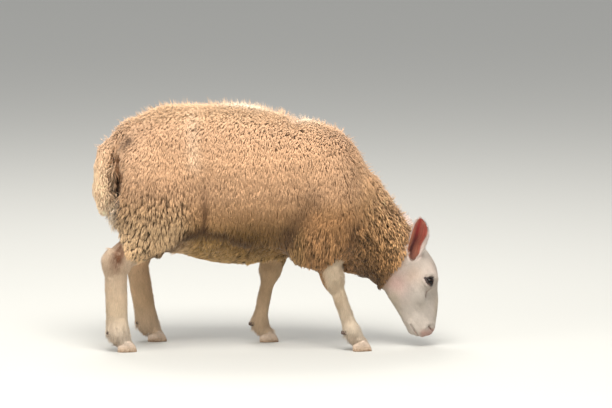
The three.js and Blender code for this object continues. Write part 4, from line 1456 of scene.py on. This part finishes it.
def lashes(mesh, name):
    """Pale lashes along the upper lid, drooping outwards."""
    points, normals = points_of(mesh), normals_of(mesh)
    head, side = mirrored(points)
    offset = head - EYE_AT
    margin = (np.abs(lid_gap(head) + 1.2) < 0.9) & (offset @ TO_UPPER_LID > 0)
    margin &= (np.linalg.norm(offset, axis=1) < RADIUS + 5) & (side == SIDES[name])
    chosen = rng.choice(np.flatnonzero(margin), min(LASHES, int(margin.sum())), replace=False)
    roots, normals = points[chosen], normals[chosen]
    out = (EYE_LOOKS * 0.75 + TO_UPPER_LID * 0.35) * (1, 1, SIDES[name]) @ HEAD_AXES
    out = out + 0.6 * ((roots - EYES[name]) / RADIUS / MM) + (0.1, 0, -0.25)
    count = len(chosen)
    lies = unit(out + 0.12 * rng.normal(size=(count, 3)))
    heights, runs = np.full(count, 1.0 * MM), rng.uniform(5, 9, count) * MM
    widths, bends = rng.uniform(0.35, 0.5, count) * MM, 0.3 * rng.normal(size=count)
    tufts = Tufts(roots, normals, lies, heights, runs, widths, bends, thick=0.5)
    pale = np.tile(tone(214, 200, 184), (count, 1))
    unwrapped = wrapped_round(EYES[name], EYES[name] + (0, 0, 0.01), roots)
    # The lashes' roots are painted darker: painted shade.
    return tufts.mesh("lashes_" + name, HAIR_RINGS, pale * 0.8, pale, unwrapped)

# --- Eyes ---


def make_eye(name):
    """The ball of the eye with its clear bulge. Its map lies level across the pupil."""
    look = (EYE_LOOKS * (1, 1, SIDES[name])) @ HEAD_AXES
    level = unit(np.cross((0, 0, 1.0), look)) * SIDES[name]
    level = level if level[0] > 0 else -level
    up = np.cross(look, level)
    up = up if up[2] > 0 else -up
    shape = bmesh.new()
    radius = EYE_RADIUS - 0.25 * MM
    bmesh.ops.create_uvsphere(shape, u_segments=56, v_segments=36, radius=radius)
    for v in shape.verts:
        v.co *= 1 + 0.07 * float(smooth(v.co.z / radius, 0.76, 0.92))
    layer = shape.loops.layers.uv.new("iris")
    for face in shape.faces:
        face.smooth = True
        for loop in face.loops:
            flat = Vector((loop.vert.co.x, loop.vert.co.y)) / (2 * radius)
            loop[layer].uv = flat + Vector((0.5, 0.5))
    axes = Matrix((level, up, look)).transposed().to_4x4()
    bmesh.ops.transform(shape, matrix=Matrix.Translation(EYES[name]) @ axes, verts=shape.verts)
    if np.cross(level, up) @ look < 0:
        bmesh.ops.reverse_faces(shape, faces=shape.faces)
    return new_piece("eyeball_" + name, mesh_from(shape, "eye"))


# --- Hooves ---

HOOF_VOXEL = 1.0 * MM
WORN = 1.0 * MM  # how far up the claws are worn flat
RING_SCALE = 1.15 * MM  # the height of a growth ring, over two pi


def make_hooves(leg):
    """The claws and dewclaws of one foot: worn horn with rings that follow its upper edge."""
    shapes = [flesh(node, 0) for node in leg.claws + leg.dewclaws]
    piece = fused("hooves_" + leg.tag, shapes, HOOF_VOXEL)
    mesh = piece.data
    relaxed(mesh, 0.5, 6)
    points = points_of(mesh)
    for claw in leg.claws:
        # Each claw is straight on its inner side and narrows to a rounded point at the toe.
        low, high = box_of(claw)
        inner = low[1] if (low[1] + high[1]) / 2 > leg.foot[1] else high[1]
        toe = smooth(points[:, 0], low[0] + 0.35 * (high[0] - low[0]), high[0] + 2 * MM)
        heel = smooth(-points[:, 0], -low[0] - 14 * MM, -low[0] + 2 * MM)
        narrowed = inner + (points[:, 1] - inner) * (1 - 0.55 * toe - 0.25 * heel)
        points[:, 1] = np.where(in_box(points, claw, 1 * MM), narrowed, points[:, 1])
    put_points(mesh, points)
    relaxed(mesh, 0.5, 4)
    points, normals = points_of(mesh), normals_of(mesh)
    sole = min(box_of(claw)[0][2] for claw in leg.claws)
    height = points[:, 2] - sole
    rings = np.sin((height - 0.18 * (points[:, 0] - leg.foot[0])) / RING_SCALE)
    side = 1 - smooth(np.abs(normals[:, 2]), 0.5, 0.9)
    chips = mottle(points, 0.006) * smooth(-height, -0.008, -0.001)
    rise = (0.16 * rings * smooth(height, 0.002, 0.006) + 0.22 * chips) * side
    points += normals * (rise * MM)[:, None]
    points[points[:, 2] < sole + WORN, 2] = sole
    put_points(mesh, points)
    paint_mesh(mesh, horn_colours(leg, points_of(mesh)))
    return piece


def horn_colours(leg, points):
    """Pale claws, darker towards the sole, and dark dewclaws."""
    low, high = leg.claw_box()
    height = points[:, 2] - low[2]
    claws = ramp(height, [0.0, 0.008, 0.02], [(168, 140, 114), (196, 172, 148), (206, 184, 164)])
    claws = claws * (1 + 0.08 * mottle(points, 0.008))[:, None]
    top = high[2] - low[2]
    return painted(claws, (smooth(height, top - 0.002, top + 0.003), (84, 64, 52)))


# --- Materials ---


class Finish:
    """One material, with short calls for the nodes that every finish needs."""

    def __init__(self, name, **fixed):
        self.material = bpy.data.materials.new(name)
        self.material.use_nodes = True
        self.tree = self.material.node_tree
        self.surface = self.tree.nodes["Principled BSDF"]
        self.on(**fixed)

    def node(self, kind, inputs=(), **settings):
        made = self.tree.nodes.new("ShaderNode" + kind)
        for name, value in settings.items():
            setattr(made, name, value)
        for name, value in dict(inputs).items():
            self.plug(made.inputs[name], value)
        return made

    def plug(self, socket, value):
        if isinstance(value, bpy.types.NodeSocket):
            self.tree.links.new(value, socket)
        else:
            socket.default_value = value

    def on(self, **sockets):
        for socket, value in sockets.items():
            self.plug(self.surface.inputs[socket.replace("_", " ")], value)
        return self.material

    def attribute(self, name, output):
        return self.node("Attribute", attribute_name=name).outputs[output]

    def places(self, scale):
        """Object coordinates, stretched by a scale along each axis."""
        coordinates = self.node("TexCoord").outputs["Object"]
        return self.node("Mapping", {"Vector": coordinates, "Scale": scale}).outputs[0]

    def map_places(self, name, scale, centre=(0, 0, 0)):
        """Coordinates of a UV map, moved to a centre and then stretched."""
        known = self.node("UVMap", uv_map=name).outputs[0]
        moved = self.node("VectorMath", {0: known, 1: centre}, operation="SUBTRACT").outputs[0]
        return self.node("Mapping", {"Vector": moved, "Scale": scale}).outputs[0]

    def noise(self, vector, detail, roughness=0.5, scale=1.0):
        inputs = {"Vector": vector, "Scale": scale, "Detail": detail, "Roughness": roughness}
        return self.node("TexNoise", inputs).outputs[0]

    def worked(self, operation, a, b=0.0):
        return self.node("Math", {0: a, 1: b}, operation=operation).outputs[0]

    def spread(self, value, low, high, new_low=0.0, new_high=1.0):
        """The value, taken from one range to another and held inside it."""
        inputs = {"Value": value, 1: low, 2: high, 3: new_low, 4: new_high}
        return self.node("MapRange", inputs, interpolation_type="SMOOTHSTEP").outputs[0]

    def mixed(self, share, a, b, blend="MIX"):
        inputs = {0: share, 6: a, 7: b}
        return self.node("Mix", inputs, data_type="RGBA", blend_type=blend).outputs[2]

    def shaded(self, colour, value, low, high):
        """The colour, made darker and lighter by a value from 0 to 1."""
        return self.mixed(1.0, colour, self.spread(value, 0.0, 1.0, low, high), "MULTIPLY")

    def bump(self, height, depth):
        return self.node("Bump", {"Height": height, "Distance": depth}).outputs[0]


def rgba(red, green, blue):
    return (*tone(red, green, blue), 1.0)


def strand_finish(name, fibres, contrast, depth, roughness, **fixed):
    """Wool or hair: the colours of the tufts with fine fibres running along each."""
    finish = Finish(name, **fixed)
    streaks = finish.noise(finish.map_places("OFBake", fibres), 3.0, 0.6)
    crimp = finish.noise(finish.map_places("OFBake", (fibres[0] * 0.4, fibres[1] * 12, 1)), 2.0)
    parts = finish.worked("MULTIPLY", streaks, 0.7), finish.worked("MULTIPLY", crimp, 0.3)
    streaks = finish.worked("ADD", *parts)
    coat = finish.attribute("coat", "Color")
    colour = finish.shaded(coat, streaks, 1 - contrast, 1 + contrast)
    grease = finish.spread(finish.noise(finish.places((38, 38, 38)), 4.0), 0.5, 0.72)
    colour = finish.mixed(finish.worked("MULTIPLY", grease, 0.16), colour, rgba(150, 108, 66))
    gloss = finish.spread(streaks, 0.2, 0.8, roughness - 0.08, roughness + 0.06)
    return finish.on(Base_Color=colour, Normal=finish.bump(streaks, depth), Roughness=gloss)


def wool_finish():
    sheen = dict(Sheen_Weight=0.35, Sheen_Roughness=0.45, Sheen_Tint=(1.0, 0.93, 0.84, 1))
    fibres = (1700, 240, 1)
    return strand_finish("wool", fibres, 0.26, 0.00035, 0.88, **sheen, Specular_IOR_Level=0.25)


def hair_finish():
    sheen = dict(Sheen_Weight=0.2, Sheen_Roughness=0.4, Sheen_Tint=(1.0, 0.95, 0.9, 1))
    fibres = (1100, 180, 1)
    return strand_finish("hair", fibres, 0.14, 0.00012, 0.62, **sheen, Specular_IOR_Level=0.35)


def hide_finish():
    """Skin under short hair, with bare moist skin at the nose, lips and lids."""
    finish = Finish("hide", Sheen_Weight=0.18, Sheen_Roughness=0.5, Specular_IOR_Level=0.35)
    bare = finish.attribute("bare", "Fac")
    flow = finish.noise(finish.places((620, 620, 95)), 4.0, 0.62)
    fine = finish.noise(finish.places((1500, 1500, 420)), 2.0)
    cells = finish.node("TexVoronoi", {"Vector": finish.places((560, 560, 560)), "Scale": 1.0})
    pores = finish.spread(cells.outputs["Distance"], 0.0, 0.6)
    blush = finish.spread(finish.noise(finish.places((60, 60, 60)), 3.0), 0.45, 0.75, 0.0, 0.35)
    colour = finish.shaded(finish.attribute("coat", "Color"), flow, 0.84, 1.14)
    colour = finish.shaded(colour, fine, 0.93, 1.07)
    colour = finish.mixed(bare, colour, finish.mixed(blush, colour, rgba(204, 150, 132)))
    relief = {0: bare, 4: finish.bump(flow, 0.0007), 5: finish.bump(pores, 0.00035)}
    normal = finish.node("Mix", relief, data_type="VECTOR").outputs[1]
    gloss = finish.spread(bare, 0.0, 1.0, 0.76, 0.4)
    return finish.on(Base_Color=colour, Normal=normal, Roughness=gloss)


PUPIL = 0.2, 0.1  # half its width and half its height, as shares of the ball's width
PUPIL_BLACK = (0.0015, 0.0018, 0.0028, 1)


def eye_finish():
    """An amber iris and white painted very dark, partly painted shade from the lids, with a level
    slot for a pupil, under a clear wet surface.
    """
    finish = Finish(
        "eye", Roughness=0.16, Coat_Weight=0.4, Coat_Roughness=0.02, Specular_IOR_Level=0.1
    )
    flat = finish.map_places("iris", (1, 1, 0), (0.5, 0.5, 0))
    radius = finish.node("VectorMath", {0: flat}, operation="LENGTH").outputs["Value"]
    ray = finish.node("VectorMath", {0: flat}, operation="NORMALIZE").outputs[0]
    streaks = finish.noise(ray, 6.0, 0.7, scale=9.0)
    rings = finish.noise(finish.map_places("iris", (16, 16, 1)), 3.0)
    iris = finish.mixed(finish.spread(streaks, 0.3, 0.7), rgba(15, 9, 6), rgba(42, 25, 13))
    iris = finish.shaded(iris, rings, 0.7, 1.2)
    iris = finish.mixed(finish.spread(radius, 0.24, 0.33), iris, rgba(14, 9, 7))
    white = finish.mixed(finish.spread(rings, 0.35, 0.7), rgba(84, 62, 50), rgba(44, 30, 24))
    ball = finish.mixed(finish.spread(radius, 0.37, 0.42), iris, white)
    # The pupil is a level slot with rounded ends, twice as wide as tall.
    from_middle = []
    for place, half in zip(finish.node("SeparateXYZ", {0: flat}).outputs, PUPIL):
        share = finish.worked("ABSOLUTE", finish.worked("DIVIDE", place, half))
        from_middle.append(finish.worked("POWER", share, 2.6))
    outside = finish.spread(finish.worked("ADD", *from_middle), 0.8, 1.15)
    return finish.on(Base_Color=finish.mixed(outside, PUPIL_BLACK, ball))


def horn_finish():
    """Pale horn with growth rings, fine upright grain, and dried mud low down."""
    finish = Finish("horn", Coat_Weight=0.08, Coat_Roughness=0.4)
    grain = finish.noise(finish.places((900, 900, 90)), 4.0, 0.65)
    places = finish.places((1, 1, 1))
    waves = {"Vector": places, "Scale": 70.0, "Distortion": 3.5, "Detail": 3.0}
    rings = finish.node("TexWave", waves, bands_direction="Z").outputs[1]
    colour = finish.shaded(finish.attribute("coat", "Color"), grain, 0.78, 1.18)
    colour = finish.shaded(colour, rings, 0.95, 1.03)
    patches = finish.noise(finish.places((170, 170, 170)), 6.0, 0.7)
    low = finish.spread(finish.node("SeparateXYZ", {0: places}).outputs[2], 0.001, 0.016, 1.0, 0.0)
    mud = finish.worked("MULTIPLY", low, finish.spread(patches, 0.42, 0.62))
    colour = finish.mixed(finish.worked("MULTIPLY", mud, 0.75), colour, rgba(124, 96, 70))
    relief = finish.worked("ADD", finish.worked("MULTIPLY", rings, 0.5), grain)
    gloss = finish.spread(mud, 0.0, 1.0, 0.46, 0.9)
    return finish.on(Base_Color=colour, Normal=finish.bump(relief, 0.0003), Roughness=gloss)


# --- Stage ---


def stage_floor():
    shape = bmesh.new()
    bmesh.ops.create_circle(shape, cap_ends=True, segments=96, radius=60)
    floor = new_piece("floor", mesh_from(shape, "floor"))
    finish = Finish("floor", Base_Color=(0.55, 0.54, 0.5, 1), Roughness=0.9)
    floor.data.materials.append(finish.material)


# Each light: its place, its size, its power and its colour.
LIGHTS = {
    "key_light": ((0.1, -2.3, 4.2), (3.0, 2.6), 285, (1.0, 0.985, 0.955)),
    "fill_light": ((-3.6, -2.6, 1.8), (2.4, 2.0), 62, (1.0, 0.98, 0.95)),
    "back_light": ((-0.6, 2.4, 3.8), (2.4, 1.6), 78, (1.0, 0.99, 0.97)),
}
LIT_MIDDLE = Vector((0, 0, 0.35))
SKY_STRENGTH = 0.62
# Where each colour of the sky stands, from the horizon up.
SKY_STOPS = (0.0, (0.5, 0.49, 0.46, 1)), (0.35, (0.93, 0.95, 0.98, 1))


def light_the_studio():
    for name, (place, size, power, colour) in LIGHTS.items():
        lamp = bpy.data.lights.new(name, "AREA")
        lamp.shape = "RECTANGLE"
        lamp.size, lamp.size_y = size
        lamp.energy = power
        lamp.color = colour
        holder = bpy.data.objects.new(name, lamp)
        holder.location = place
        aim = LIT_MIDDLE - Vector(place)
        holder.rotation_euler = aim.to_track_quat("-Z", "Y").to_euler()
        bpy.context.scene.collection.objects.link(holder)
    world = bpy.data.worlds.new("studio")
    world.use_nodes = True
    tree = world.node_tree
    sky = tree.nodes["Background"]
    sky.inputs["Strength"].default_value = SKY_STRENGTH
    place, split, fade = (
        tree.nodes.new("ShaderNode" + kind) for kind in ("TexCoord", "SeparateXYZ", "ValToRGB")
    )
    for element, (position, colour) in zip(fade.color_ramp.elements, SKY_STOPS):
        element.position = position
        element.color = colour
    tree.links.new(place.outputs["Generated"], split.inputs[0])
    tree.links.new(split.outputs["Z"], fade.inputs["Fac"])
    tree.links.new(fade.outputs["Color"], sky.inputs["Color"])
    bpy.context.scene.world = world


# Where the camera looks and from where, and its lens and sensor in millimetres.
AIM = Vector((0.0988, 0, 0.3446))
ELEVATION = math.radians(7)
DISTANCE = 12
LENS, SENSOR = 294, 36


def set_camera():
    lens = bpy.data.cameras.new("camera")
    lens.lens = LENS
    lens.sensor_width = SENSOR
    lens.clip_end = 60
    camera = bpy.data.objects.new("camera", lens)
    camera.location = AIM + DISTANCE * Vector((0, -math.cos(ELEVATION), math.sin(ELEVATION)))
    camera.rotation_euler = (math.pi / 2 - ELEVATION, 0, 0)
    bpy.context.scene.collection.objects.link(camera)
    bpy.context.scene.camera = camera


stage_floor()
light_the_studio()
set_camera()

# --- The pieces: the solids they stand for are hidden, and each gets its finish and parent ---

ground = Ground(skin.data)
# The skin under the wool is painted darker: painted shade between the locks.
shade_under_wool = 1 - 0.3 * wool_only(ground.points)
paint_mesh(skin.data, markings(ground.points, ground.normals) * shade_under_wool[:, None])
bare = skin.data.attributes.new("bare", "FLOAT", "POINT")
bare.data.foreach_set("value", bareness(ground.points).astype(np.float32))
coat_pieces = fleece(ground)
hair_pieces = short_hair(ground) + [lashes(skin.data, name) for name in SIDES]
eyeballs = [make_eye(name) for name in SIDES]
hooves = [make_hooves(leg) for leg in LIMBS]

flesh_nodes = ["trunk", "neck", "head", "tail", "ear_left", "ear_right"]
flesh_nodes += [node for leg in LIMBS for node in (leg.upper, leg.lower)]
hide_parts(*flesh_nodes)
for name, piece in zip(SIDES, eyeballs):
    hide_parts("eye_" + name)
for leg, piece in zip(LIMBS, hooves):
    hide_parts(*leg.claws, *leg.dewclaws)
for pieces, slot, finish in [
    ([skin], "hide", hide_finish()),
    (coat_pieces, "wool", wool_finish()),
    (hair_pieces, "hair", hair_finish()),
    (eyeballs, "eye", eye_finish()),
    (hooves, "horn", horn_finish()),
]:
    for piece in pieces:
        piece.data.materials.append(finish)
        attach(piece, "root")
for piece in [skin, *hooves]:
    for face in piece.data.polygons:
        face.use_smooth = True
bpy.context.scene.view_settings.view_transform = "Standard"
